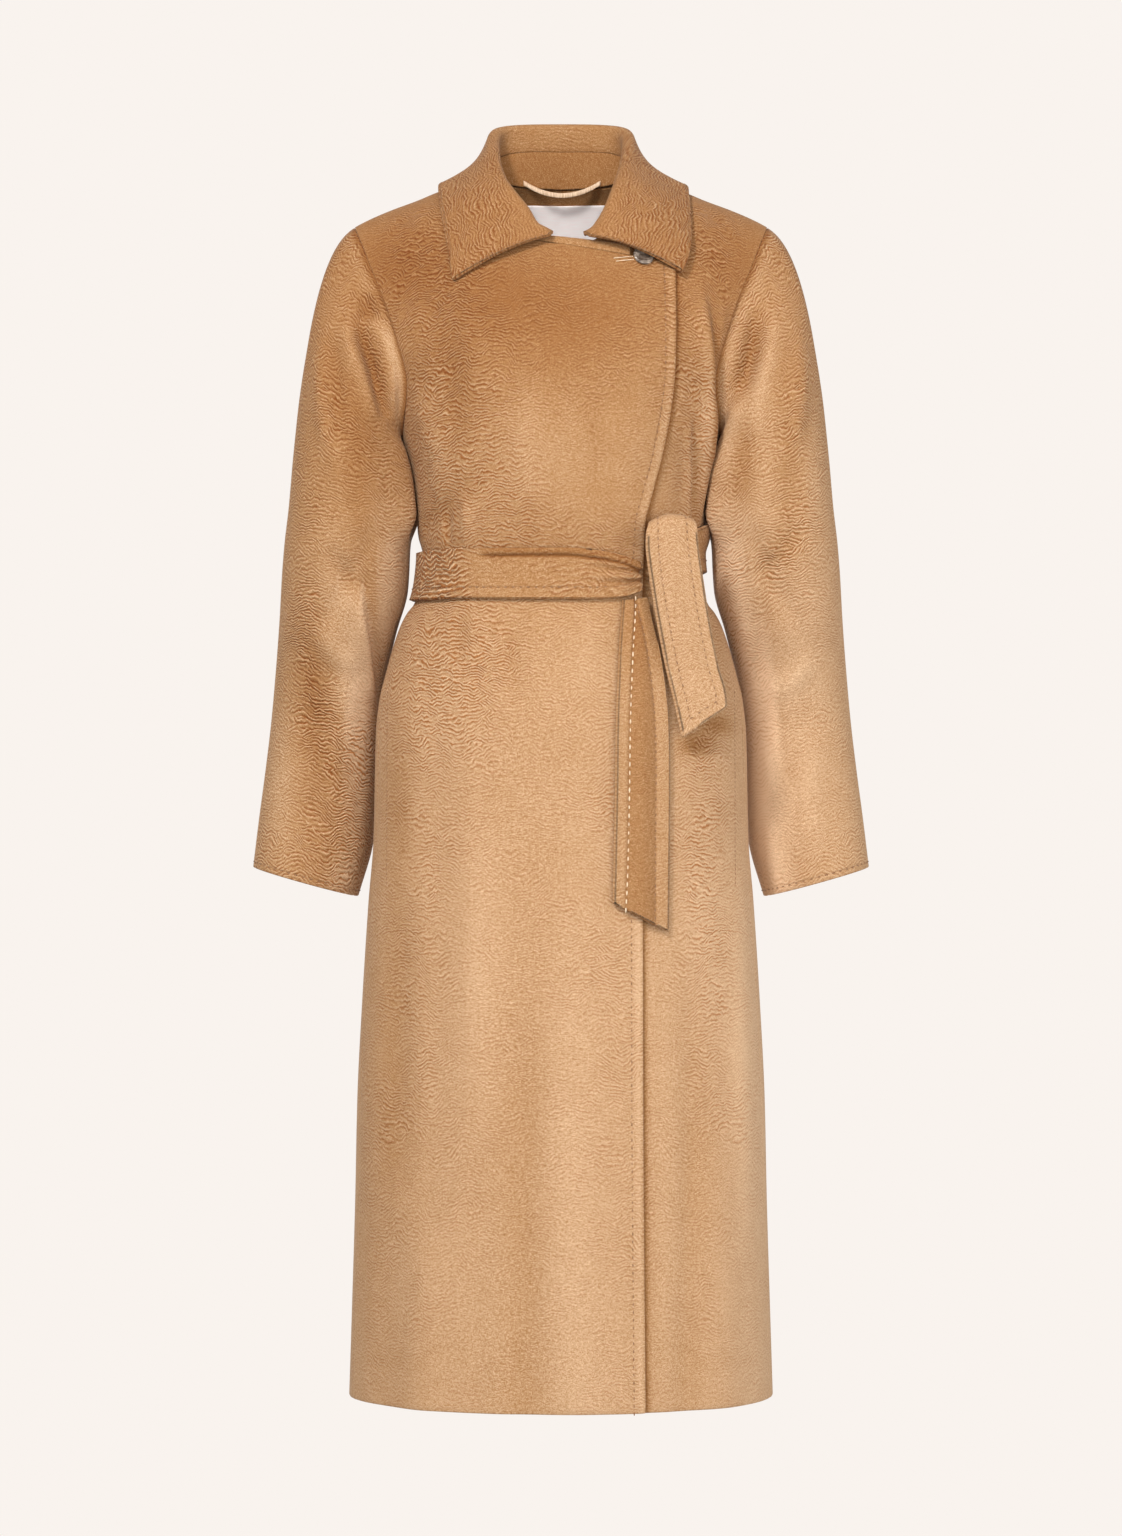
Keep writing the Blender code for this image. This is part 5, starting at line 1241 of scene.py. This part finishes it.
# The two ends, each row from one edge to the other.
shortRows = (
    (0.08, -0.0947, -0.324, 0.12, -0.0832, -0.323),
    (0.0795, -0.0947, -0.313, 0.1215, -0.0832, -0.311),
    (0.079, -0.0985, -0.306, 0.122, -0.087, -0.3035),
    (0.0785, -0.108, -0.303, 0.123, -0.0965, -0.3005),
    (0.078, -0.1175, -0.306, 0.124, -0.105, -0.304),
    (0.0775, -0.1215, -0.314, 0.125, -0.1085, -0.313),
    (0.0775, -0.1225, -0.334, 0.1265, -0.109, -0.334),
    (0.0815, -0.1225, -0.365, 0.1315, -0.108, -0.37),
    (0.088, -0.1215, -0.404, 0.1375, -0.1065, -0.407),
    (0.095, -0.1215, -0.44, 0.1445, -0.106, -0.4405),
    (0.1025, -0.123, -0.471, 0.1505, -0.1075, -0.46),
    (0.11, -0.125, -0.506, 0.152, -0.109, -0.4775),
)
longRows = (
    (0.0562, -0.38, 0.08, -0.377), (0.0545, -0.4, 0.085, -0.4), (0.0526, -0.427, 0.0915, -0.427),
    (0.051, -0.46, 0.0965, -0.46), (0.0497, -0.494, 0.0995, -0.494), (0.049, -0.548, 0.1, -0.548),
    (0.048, -0.6, 0.0995, -0.605), (0.0472, -0.635, 0.099, -0.65), (0.0468, -0.655, 0.0985, -0.682),
)

beltTable = columnsOf(beltRows)
beltMiddle, beltHalf = (smoothCurve(beltTable[0], beltTable[i]) for i in (1, 2))
angle = np.linspace(beltRows[0][0], beltRows[-1][0], 300)[:, None]
share = np.linspace(-1, 1, 61)[None, :]
z = beltMiddle(angle) + beltHalf(angle) * share
around = (angle + 180) % 360 - 180 + 0 * share
points, outward = skin(around, z), skinNormal(around, z)
fromTop = beltHalf(angle) * (1 - share)
fromBottom = beltHalf(angle) * (1 + share)
turned = ramp(angle, -34.0, -24.0)
gather = ramp(angle, 2.0, 26.0)
out = lap(points[..., 0], z) * (np.abs(around) < 90) * ramp(-points[..., 0], -0.1, -0.08)
out = out + belt["off"] + cloth["doubled"]
strip = 0.0016 * hump(fromTop - 0.0045, 0.0035) - 0.0026 * hump(fromTop - belt["turnedStrip"], belt["stripSoft"])
out = out + turned * strip
for at, height, width in beltRidges:
    out = out + gather * height * hump(share - at, width)
beltGrid = points + outward * out[..., None]
beltNormals = gridNormals(beltGrid)
beltNormals *= np.sign(np.sum(beltNormals * outward, axis=-1, keepdims=True))
beltNap = 0.06 + 0.94 * ramp(-angle, 28.0, 50.0) * ramp(angle, -110.0, -60.0)
# The turned strip along the top is painted darker, with a dark line in its crease, as painted shade. The gathered
# ridges are painted paler on top and darker between, as painted light and shade.
beltTone = 0.42 - 0.05 * ramp(angle, -55.0, 0.0) - 0.34 * turned * ramp(belt["turnedStrip"] - fromTop, 0.0, 0.001)
beltTone = beltTone - 0.8 * turned * hump(fromTop - belt["turnedStrip"], 0.0012)
beltTone = beltTone + 60 * gather * np.sum([h * hump(share - c, w) for c, h, w in beltRidges], axis=0)
beltWaist = addWall("beltWaist", beltGrid, beltNormals, cloth["doubled"], beltWool, paint=looks(
    beltNap, 0.3 * ramp(angle, -45.0, -20.0), np.abs(fromBottom - belt["stitchInset"]), beltTone))

# The knot: a rounded wrap with soft ridges round it.
turnAngle = math.radians(knot["turn"])
acrossAxis = np.array([math.cos(turnAngle), math.sin(turnAngle), 0.0])
flatAxis = np.array([math.sin(turnAngle), -math.cos(turnAngle), 0.0])
upAxis = np.array([0.0, 0.0, 1.0])
tip = np.linspace(-math.pi / 2, math.pi / 2, 50)[1:-1, None]
spin = np.linspace(0, 2 * math.pi, 97)[None, :-1]
heightHere = knot["half"][2] * signedPower(np.sin(tip), 0.8)
girth = np.abs(np.cos(tip)) ** 0.6 * (1 + 0.1 * np.sin(heightHere / knot["ridge"] + 1.3 * np.sin(spin)) * np.cos(tip))
sideways = knot["half"][0] * signedPower(np.cos(spin), 0.75) * girth
depth = knot["half"][1] * signedPower(np.sin(spin), 0.75) * girth
knotMiddle = np.array(knot["middle"])
knotGrid = knotMiddle + sideways[..., None] * acrossAxis + depth[..., None] * flatAxis
knotGrid = knotGrid + (heightHere + 0 * spin)[..., None] * upAxis
knotTip = upAxis * knot["half"][2]
points = np.concatenate([knotGrid.reshape(-1, 3), [knotMiddle - knotTip, knotMiddle + knotTip]])
uv = np.stack([spin * 0.018 + 0 * tip, heightHere + 0 * spin], axis=-1).reshape(-1, 2)
uv = np.concatenate([uv, [[0.0, -knot["half"][2]], [0.0, knot["half"][2]]]])
# The knot is painted paler than the belt: painted light against the shade around it.
paint = {key: np.full(len(points), value) for key, value in looks(0.4, 0.2, 1.0, 0.75).items()}
beltKnot = addMesh("beltKnot", points, ringFaces(*knotGrid.shape[:2]), beltWool, uv, paint)

# The short end, over the knot.
shortTable = np.array(shortRows)
share = np.linspace(0, 1, 25)[None, :, None]
shortGrid = shortTable[:, None, :3] + (shortTable[:, None, 3:] - shortTable[:, None, :3]) * share
lowZ = belt["shortArchLow"]
high = np.clip((shortGrid[..., 2] - lowZ) / (shortGrid[..., 2].max() - lowZ), 0, 1)
high[0] = 0
shortGrid[..., 2] -= belt["shortArch"] * (2 * share[..., 0] - 1) ** 2 * high
shortGrid = refine(shortGrid, 3)
shortNormals = outwardNormals(shortGrid, len(shortGrid) - 2, 0, (0.0, -1.0, 0.0))
along, across = alongColumns(shortGrid), alongRows(shortGrid)
part = along / along.max()
shortFold = 0.0012 * hump(across - 0.034 + 0.02 * (1 - part), 0.006) * np.sin(np.pi * np.clip(part, 0, 1))
shortGrid = shortGrid + shortNormals * shortFold[..., None]
toSide = np.minimum(across, across[:, -1:] - across) - belt["stitchInset"]
toTip = along[-1:] - along - belt["stitchInset"]
inside = (toSide > -0.004) & (toTip > -0.004)
shortGroove = np.where(inside, np.minimum(np.abs(toSide), np.abs(toTip)), 1.0)
beltTailShort = addWall("beltTailShort", shortGrid, shortNormals, cloth["doubled"], tailWool,
                        uv=np.stack([across, along], axis=-1), paint=looks(0.45, 0.35, shortGroove, 0.78))

# The long end, under the knot, which steps down off the outer front's edge.
longTable = refine(np.array(longRows), 4)
share = np.linspace(0, 1, 29)[None, :]
x = longTable[:, :1] + (longTable[:, 2:3] - longTable[:, :1]) * share
z = longTable[:, 1:2] + (longTable[:, 3:] - longTable[:, 1:2]) * share
step = lapOff * (1 - ramp(x - outerEdge(z), 0.0, 0.015))
longGrid = skin(angleOf(x, z), z) - np.stack([0 * x, step + belt["longOff"] + cloth["doubled"], 0 * x], axis=-1)
across, along = alongRows(longGrid), alongColumns(longGrid)
fromLeft, fromRight = across - belt["longLeft"], across - across[:, -1:] + belt["longRight"]
bend = -0.0016 * hump(fromLeft, belt["stripSoft"]) - 0.0012 * hump(fromRight, belt["stripSoft"])
longDown = (len(longGrid) - 2, 0, (0.0, -1.0, 0.0))
longGrid = longGrid + outwardNormals(longGrid, *longDown) * bend[..., None]
longNormals = outwardNormals(longGrid, *longDown)
# The long end's middle is painted darker than its two bent edge strips, as painted light and shade, and its top is
# painted darker under the knot and the short end, as painted shade.
longTone = 0.22 + 0.4 * ramp(across - across[:, -1:], -0.017, -0.013) + 0.36 * ramp(-across, -0.013, -0.01)
longTone = longTone - 0.3 * ramp(longGrid[..., 2], -0.47, -0.39)
beltTailLong = addWall("beltTailLong", longGrid, longNormals, cloth["doubled"], tailWool,
                       uv=np.stack([across, along], axis=-1),
                       paint=looks(0.3, 0.2, np.minimum(np.abs(fromLeft), np.abs(fromRight)), longTone))
print("belt made")

# Label, loop, button and pocket facings

labelSizes = {"x": (-0.036, 0.0425), "z": (-0.001, -0.04), "off": 0.0007}
loopSizes = {"half": 0.036, "endZ": 0.016, "sag": 0.0115, "width": 0.005, "endY": 0.0352, "middleY": 0.0385,
             "aside": 0.001}
# The button's section, as shares of its radius and thickness.
buttonProfile = np.array((
    (0.0, 0.5), (0.3, 0.5), (0.5, 0.54), (0.62, 0.66), (0.72, 0.86), (0.82, 0.98), (0.9, 0.98), (0.96, 0.86),
    (1.0, 0.62), (1.0, 0.42), (0.96, 0.2), (0.88, 0.06), (0.78, 0.0), (0.0, 0.0),
))

x, z = np.meshgrid(np.linspace(*labelSizes["x"], 30), np.linspace(*labelSizes["z"], 18))
angle = angleOf(x, z, back=True)
outward = -skinNormal(angle, z)
labelGrid = skin(angle, z) + outward * (cloth["thickness"] + labelSizes["off"] + cloth["satin"])
label = addWall("labelSatin", labelGrid, outward, cloth["satin"], whiteSatin)

share, t = np.meshgrid(np.linspace(0, 1, 7), np.linspace(-1, 1, 61))
arch = 1 - t * t
x = loopSizes["half"] * t + loopSizes["aside"]
z = loopSizes["endZ"] - loopSizes["sag"] * arch + loopSizes["width"] * (0.5 - share)
y = loopSizes["endY"] + (loopSizes["middleY"] - loopSizes["endY"]) * arch
y = y - 0.0005 * share - 0.0004 * np.sin(np.pi * share)
loopGrid = np.stack([x, y, z], axis=-1)
loopNormals = outwardNormals(loopGrid, 30, 3, (0.0, -1.0, 0.0))
hangerLoop = addWall("hangerLoop", loopGrid, loopNormals, cloth["satin"], goldSatin)

seatAngle = angleOf(button["x"], button["z"])
facing = skinNormal(seatAngle, button["z"])
seat = skin(seatAngle, button["z"]) + facing * (float(lap(button["x"], button["z"])) + 2 * cloth["seamGap"])
sideAxis = unit(np.cross(upAxis, facing))
turn = np.linspace(0, 2 * math.pi, 64, endpoint=False)[:, None]
spokes = np.cos(turn) * sideAxis + np.sin(turn) * np.cross(facing, sideAxis)
rings = [seat + spokes * r * button["radius"] + facing * h * button["thick"] for r, h in buttonProfile[1:-1]]
points = np.concatenate(rings + [[seat + facing * buttonProfile[0, 1] * button["thick"]], [seat]])
hornButton = addMesh("hornButton", points, ringFaces(len(rings), len(turn)), horn)

facings = {}
for side, name in ((1, "pocketFacingLeft"), (-1, "pocketFacingRight")):
    turns, z = np.meshgrid(np.linspace(-pocketHalfAngle, pocketHalfAngle, 12), np.linspace(*pocketZ, 28))
    angle = side * (sideAngle + turns)
    outward = skinNormal(angle, z)
    grid = skin(angle, z) - outward * (cloth["thickness"] + pocketOff)
    facings[name] = addWall(name, grid, outward, cloth["facing"], standWool, paint=looks(0.1, 0.3, 1.0, 0.4))
print("small parts made")

# Stitches: one Geometry Nodes tree, run along a line of points.

# The two threads of the buttonhole, each from x, z to x, z.
buttonhole = ((0.048, -0.0699, 0.0645, -0.068), (0.05, -0.0727, 0.065, -0.0708))


def stitchTree():
    tree = bpy.data.node_groups.new("stitchRow", "GeometryNodeTree")
    face = tree.interface
    face.new_socket("Line", in_out="INPUT", socket_type="NodeSocketGeometry")
    for name, value in (("Pitch", stitches["pitch"]), ("Length", stitches["length"]), ("Thread", stitches["thread"])):
        face.new_socket(name, in_out="INPUT", socket_type="NodeSocketFloat").default_value = value
    face.new_socket("Material", in_out="INPUT", socket_type="NodeSocketMaterial")
    face.new_socket("Seed", in_out="INPUT", socket_type="NodeSocketInt").default_value = 3
    face.new_socket("Stitches", in_out="OUTPUT", socket_type="NodeSocketGeometry")
    given, end = tree.nodes.new("NodeGroupInput").outputs, tree.nodes.new("NodeGroupOutput")
    add = nodeAdder(tree)
    curve = add("GeometryNodeMeshToCurve", {"Mesh": given["Line"]})
    even = add("GeometryNodeResampleCurve", {"Curve": curve[0], "Length": given["Pitch"]}, mode="LENGTH")
    dots = add("GeometryNodeCurveToPoints", {"Curve": even[0]}, mode="EVALUATED")
    ball = add("GeometryNodeMeshUVSphere", {"Segments": 8, "Rings": 5, "Radius": 0.5})
    size = add("ShaderNodeCombineXYZ", {0: given["Thread"], 1: given["Thread"], 2: given["Length"]})
    shape = add("GeometryNodeTransform", {"Geometry": ball["Mesh"], "Scale": size[0]})
    jitter = add("FunctionNodeRandomValue", {"Min": 0.82, "Max": 1.12, "Seed": given["Seed"]}, data_type="FLOAT")
    place = add("GeometryNodeInstanceOnPoints", {
        "Points": dots["Points"], "Rotation": dots["Rotation"], "Instance": shape[0], "Scale": jitter[1]})
    real = add("GeometryNodeRealizeInstances", {0: place[0]})
    paint = add("GeometryNodeSetMaterial", {"Geometry": real[0], "Material": given["Material"]})
    tree.links.new(paint[0], end.inputs[0])
    return tree


rowTree = stitchTree()


def stitchRow(name, lines, thread, pitch=None, length=None, size=None):
    points, edges = [], []
    for line in lines:
        first = len(points)
        points += [tuple(float(v) for v in p) for p in line]
        edges += [(first + i, first + i + 1) for i in range(len(line) - 1)]
    mesh = bpy.data.meshes.new(name + "Line")
    mesh.from_pydata(points, edges, [])
    holder = bpy.data.objects.new(name + "Line", mesh)
    bpy.context.scene.collection.objects.link(holder)
    modifier = holder.modifiers.new("stitches", "NODES")
    modifier.node_group = rowTree
    values = {"Pitch": pitch, "Length": length, "Thread": size, "Material": thread}
    for item in rowTree.interface.items_tree:
        if item.item_type == "SOCKET" and item.in_out == "INPUT" and values.get(item.name) is not None:
            modifier[item.identifier] = values[item.name]
    graph = bpy.context.evaluated_depsgraph_get()
    made = bpy.data.meshes.new_from_object(holder.evaluated_get(graph), depsgraph=graph)
    bpy.data.objects.remove(holder, do_unlink=True)
    made.name = name
    made.shade_smooth()
    result = bpy.data.objects.new(name, made)
    bpy.context.scene.collection.objects.link(result)
    return result


def atDistance(grid, normals, distances, wanted, axis, lift=0.0001):
    # The points of a grid at a wanted distance, found along each row (axis 1) or column (axis 0).
    if axis == 0:
        grid, normals, distances = (np.swapaxes(a, 0, 1) for a in (grid, normals, distances))
    line = []
    for points, outs, measured in zip(grid, normals, distances):
        if not measured.min() <= wanted <= measured.max():
            continue
        order = np.argsort(measured)
        point = np.array([np.interp(wanted, measured[order], points[order, i]) for i in range(3)])
        out = np.array([np.interp(wanted, measured[order], outs[order, i]) for i in range(3)])
        line.append(point + out * lift)
    return np.array(line)


frontEdgeLine = atDistance(frontRightGrid, frontRightNormals, edgeDistance, fronts["stitchInset"], 1)
frontStitches = stitchRow("stitchesFrontEdge", [frontEdgeLine], camelThread)
rows = slice(collar["edgeRows"], -collar["edgeRows"])
collarLines = [atDistance(leaf[rows], leafNormals[rows], fromEdge[rows], collar["stitchInset"], 1)]
for rows in (slice(0, len(leaf) // 2), slice(len(leaf) // 2, None)):
    columns = slice(3, collar["fallSteps"])
    distance = fromEnds[rows, columns]
    collarLines.append(atDistance(leaf[rows, columns], leafNormals[rows, columns], distance, collar["stitchInset"],
                                  0))
collarStitches = stitchRow("stitchesCollar", collarLines, camelThread, pitch=0.005, length=0.002, size=0.0007)
cuffRows = [atDistance(*places, sleeve["stitchInset"], 0) for places in cuffLines]
cuffStitches = stitchRow("stitchesCuffs", cuffRows, camelThread)
pocketLines = []
top, bottom = fronts["pocketStitchZ"]
for grid, outward, side in ((frontLeftGrid, frontLeftNormals, 1), (frontRightGrid, frontRightNormals, -1)):
    line = atDistance(grid, outward, grid[..., 0], side * fronts["pocketStitchX"], 1)
    pocketLines.append(line[(line[:, 2] < top) & (line[:, 2] > bottom)])
pocketStitches = stitchRow("stitchesPockets", pocketLines, camelThread, pitch=0.0042, length=0.0026, size=0.0008)
rows = slice(0, -14)
beltLine = atDistance(beltGrid[rows], beltNormals[rows], (fromBottom + 0 * beltGrid[..., 0])[rows],
                      belt["stitchInset"], 1)
beltStitches = stitchRow("stitchesBelt", [beltLine], camelThread)
along, across = alongColumns(shortGrid), alongRows(shortGrid)
toTip = along[-1:] - along
keep = toTip[:, 0] > belt["stitchInset"]
keep[:6] = False
shortLines = []
for distance in (across, across[:, -1:] - across):
    shortLines.append(atDistance(shortGrid[keep], shortNormals[keep], distance[keep], belt["stitchInset"], 1))
columns = slice(6, -6)
shortLines.append(atDistance(shortGrid[:, columns], shortNormals[:, columns], toTip[:, columns],
                             belt["stitchInset"], 0))
shortStitches = stitchRow("stitchesTailShort", shortLines, camelThread)
longRight = atDistance(longGrid, longNormals, -fromRight, 0.0, 1)
longLeft = atDistance(longGrid, longNormals, fromLeft, 0.0, 1)
longStitches = stitchRow("stitchesTailLong", [longRight], camelThread)
longPale = stitchRow("stitchesTailLongPale", [longLeft], paleThread, pitch=0.0076, length=0.0042, size=0.0013)
holeLines = []
for startX, startZ, endX, endZ in buttonhole:
    x, z = np.linspace(startX, endX, 12), np.linspace(startZ, endZ, 12)
    angle = angleOf(x, z)
    holeLines.append(skin(angle, z) + skinNormal(angle, z) * (lap(x, z) + 0.0006)[:, None])
holeStitches = stitchRow("stitchesButtonhole", holeLines, paleThread, pitch=0.0013, length=0.0014, size=0.0008)
print("stitches made")

# The stage, lights and camera

stage = {
    "background": (0.947, 0.896, 0.855), "radius": 9.0, "floor": -3.0,
    "sky": (1.0, 0.96, 0.91), "skyStrength": 0.62, "light": (1.0, 0.985, 0.965),
}
# Each light: its place, what it points at, its width and height, and its power.
lights = {
    "frontLight": ((0.4, -5.2, 0.1), (0.0, 0.0, -0.5), (2.6, 2.6), 84.0),
    "lowRightLight": ((1.8, -3.4, -0.5), (0.0, 0.0, -0.65), (2.0, 2.4), 34.0),
    "rightLight": ((3.2, -1.2, -0.5), (0.1, 0.0, -0.6), (1.4, 2.4), 24.0),
    "leftLight": ((-2.2, -3.2, -0.6), (0.0, 0.0, -0.55), (1.6, 2.2), 10.0),
    "keyLight": ((-1.0, -2.5, 1.5), (0.0, 0.0, -0.3), (0.4, 0.4), 80.0),
    "backLight": ((-0.8, 5.0, 0.8), (0.0, 0.0, -0.5), (2.6, 2.6), 110.0),
}
camera = {"distance": 4.6, "height": -0.533, "lens": 115.8}

material = bpy.data.materials.new("paleBackdrop")
material.use_nodes = True
nodes = material.node_tree.nodes
nodes.remove(nodes["Principled BSDF"])
glow = nodes.new("ShaderNodeEmission")
glow.inputs["Color"].default_value = (*stage["background"], 1.0)
material.node_tree.links.new(glow.outputs[0], nodes["Material Output"].inputs[0])
around = np.linspace(0, 2 * math.pi, 65)[:-1]
rise = np.linspace(-math.pi / 2, math.pi / 2, 33)[1:-1]
rise, around = rise[:, None], around[None, :]
ring = np.stack([np.cos(rise) * np.cos(around), np.cos(rise) * np.sin(around), np.sin(rise) + 0 * around], axis=-1)
points = np.concatenate([ring.reshape(-1, 3), [[0.0, 0.0, -1.0], [0.0, 0.0, 1.0]]]) * stage["radius"]
points[:, 2] = np.maximum(points[:, 2], stage["floor"])
backdrop = addMesh("backdrop", points, ringFaces(*ring.shape[:2]), material)
for rays in ("visible_diffuse", "visible_glossy", "visible_transmission", "visible_shadow"):
    setattr(backdrop, rays, False)

world = bpy.data.worlds.new("studio")
bpy.context.scene.world = world
world.use_nodes = True
sky = world.node_tree.nodes["Background"]
sky.inputs[0].default_value = (*stage["sky"], 1.0)
sky.inputs[1].default_value = stage["skyStrength"]

for name, (place, target, size, power) in lights.items():
    lamp = bpy.data.lights.new(name, "AREA")
    lamp.shape = "RECTANGLE"
    lamp.size, lamp.size_y = size
    lamp.energy = power
    lamp.color = stage["light"]
    made = bpy.data.objects.new(name, lamp)
    made.location = place
    made.rotation_euler = (Vector(target) - Vector(place)).to_track_quat("-Z", "Y").to_euler()
    made.visible_camera = False
    bpy.context.scene.collection.objects.link(made)

lens = bpy.data.cameras.new("camera")
lens.sensor_fit = "VERTICAL"
lens.sensor_height = 36.0
lens.lens = camera["lens"]
lens.clip_end = 50.0
view = bpy.data.objects.new("camera", lens)
view.location = (0.0, -camera["distance"], camera["height"])
view.rotation_euler = (math.radians(90.0), 0.0, 0.0)
bpy.context.scene.collection.objects.link(view)
bpy.context.scene.camera = view
bpy.context.scene.view_settings.view_transform = "Standard"
print("stage made")

# What each piece stands for

# Each piece: its node, slot, flat size, area where the cut is no rectangle, and the node that it rests on.
pieces = (
    (frontRight, "front_right", "wool_body", (0.34, 1.17), 0.345, "front_left"),
    (frontLeft, "front_left", "wool_body", (0.32, 1.17), 0.33, "back"),
    (back, "back", "wool_body", (0.52, 1.2), 0.6, "front_right"),
    (sleeves["sleeveRightFront"], "sleeve_right_front", "wool_sleeve", (0.16, 0.66), 0.078, "front_right"),
    (sleeves["sleeveRightBack"], "sleeve_right_back", "wool_sleeve", (0.22, 0.66), 0.12, "back"),
    (sleeves["sleeveLeftFront"], "sleeve_left_front", "wool_sleeve", (0.16, 0.66), 0.078, "front_left"),
    (sleeves["sleeveLeftBack"], "sleeve_left_back", "wool_sleeve", (0.22, 0.66), 0.12, "back"),
    (collarLeaf, "collar_leaf", "wool_collar", (0.125, 0.48), 0.045, "collar_stand"),
    (collarStand, "collar_stand", "wool_collar", (0.025, 0.3), None, "back"),
    (neckBand, "neck_band", "wool_collar", (0.011, 0.1), None, "front_right"),
    (beltWaist, "belt_waist", "wool_belt", (0.05, 0.85), None, "front_right"),
    (beltKnot, "belt_knot", "wool_belt", (0.045, 0.065), None, "belt_waist"),
    (beltTailShort, "belt_tail_short", "wool_belt", (0.05, 0.25), None, "belt_knot"),
    (beltTailLong, "belt_tail_long", "wool_belt", (0.05, 0.29), None, "front_right"),
    (label, "label", "label_satin", (0.079, 0.041), None, "back"),
    (hangerLoop, "hanger_loop", "loop_satin", (0.01, 0.085), 0.00043, "collar_stand"),
    (hornButton, "button", "button_horn", None, None, None),
    (facings["pocketFacingRight"], "pocket_facing_right", "wool_body", (0.042, 0.13), None, "back"),
    (facings["pocketFacingLeft"], "pocket_facing_left", "wool_body", (0.042, 0.13), None, "back"),
)
for piece, node, slot, *_ in pieces:
    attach(piece, "root")
    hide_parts(node)
for slot, rows in (
    ("wool_body", (frontStitches, holeStitches, pocketStitches)), ("wool_collar", (collarStitches,)),
    ("wool_sleeve", (cuffStitches,)), ("wool_belt", (beltStitches, shortStitches, longStitches, longPale)),
):
    for piece in rows:
        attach(piece, "root")
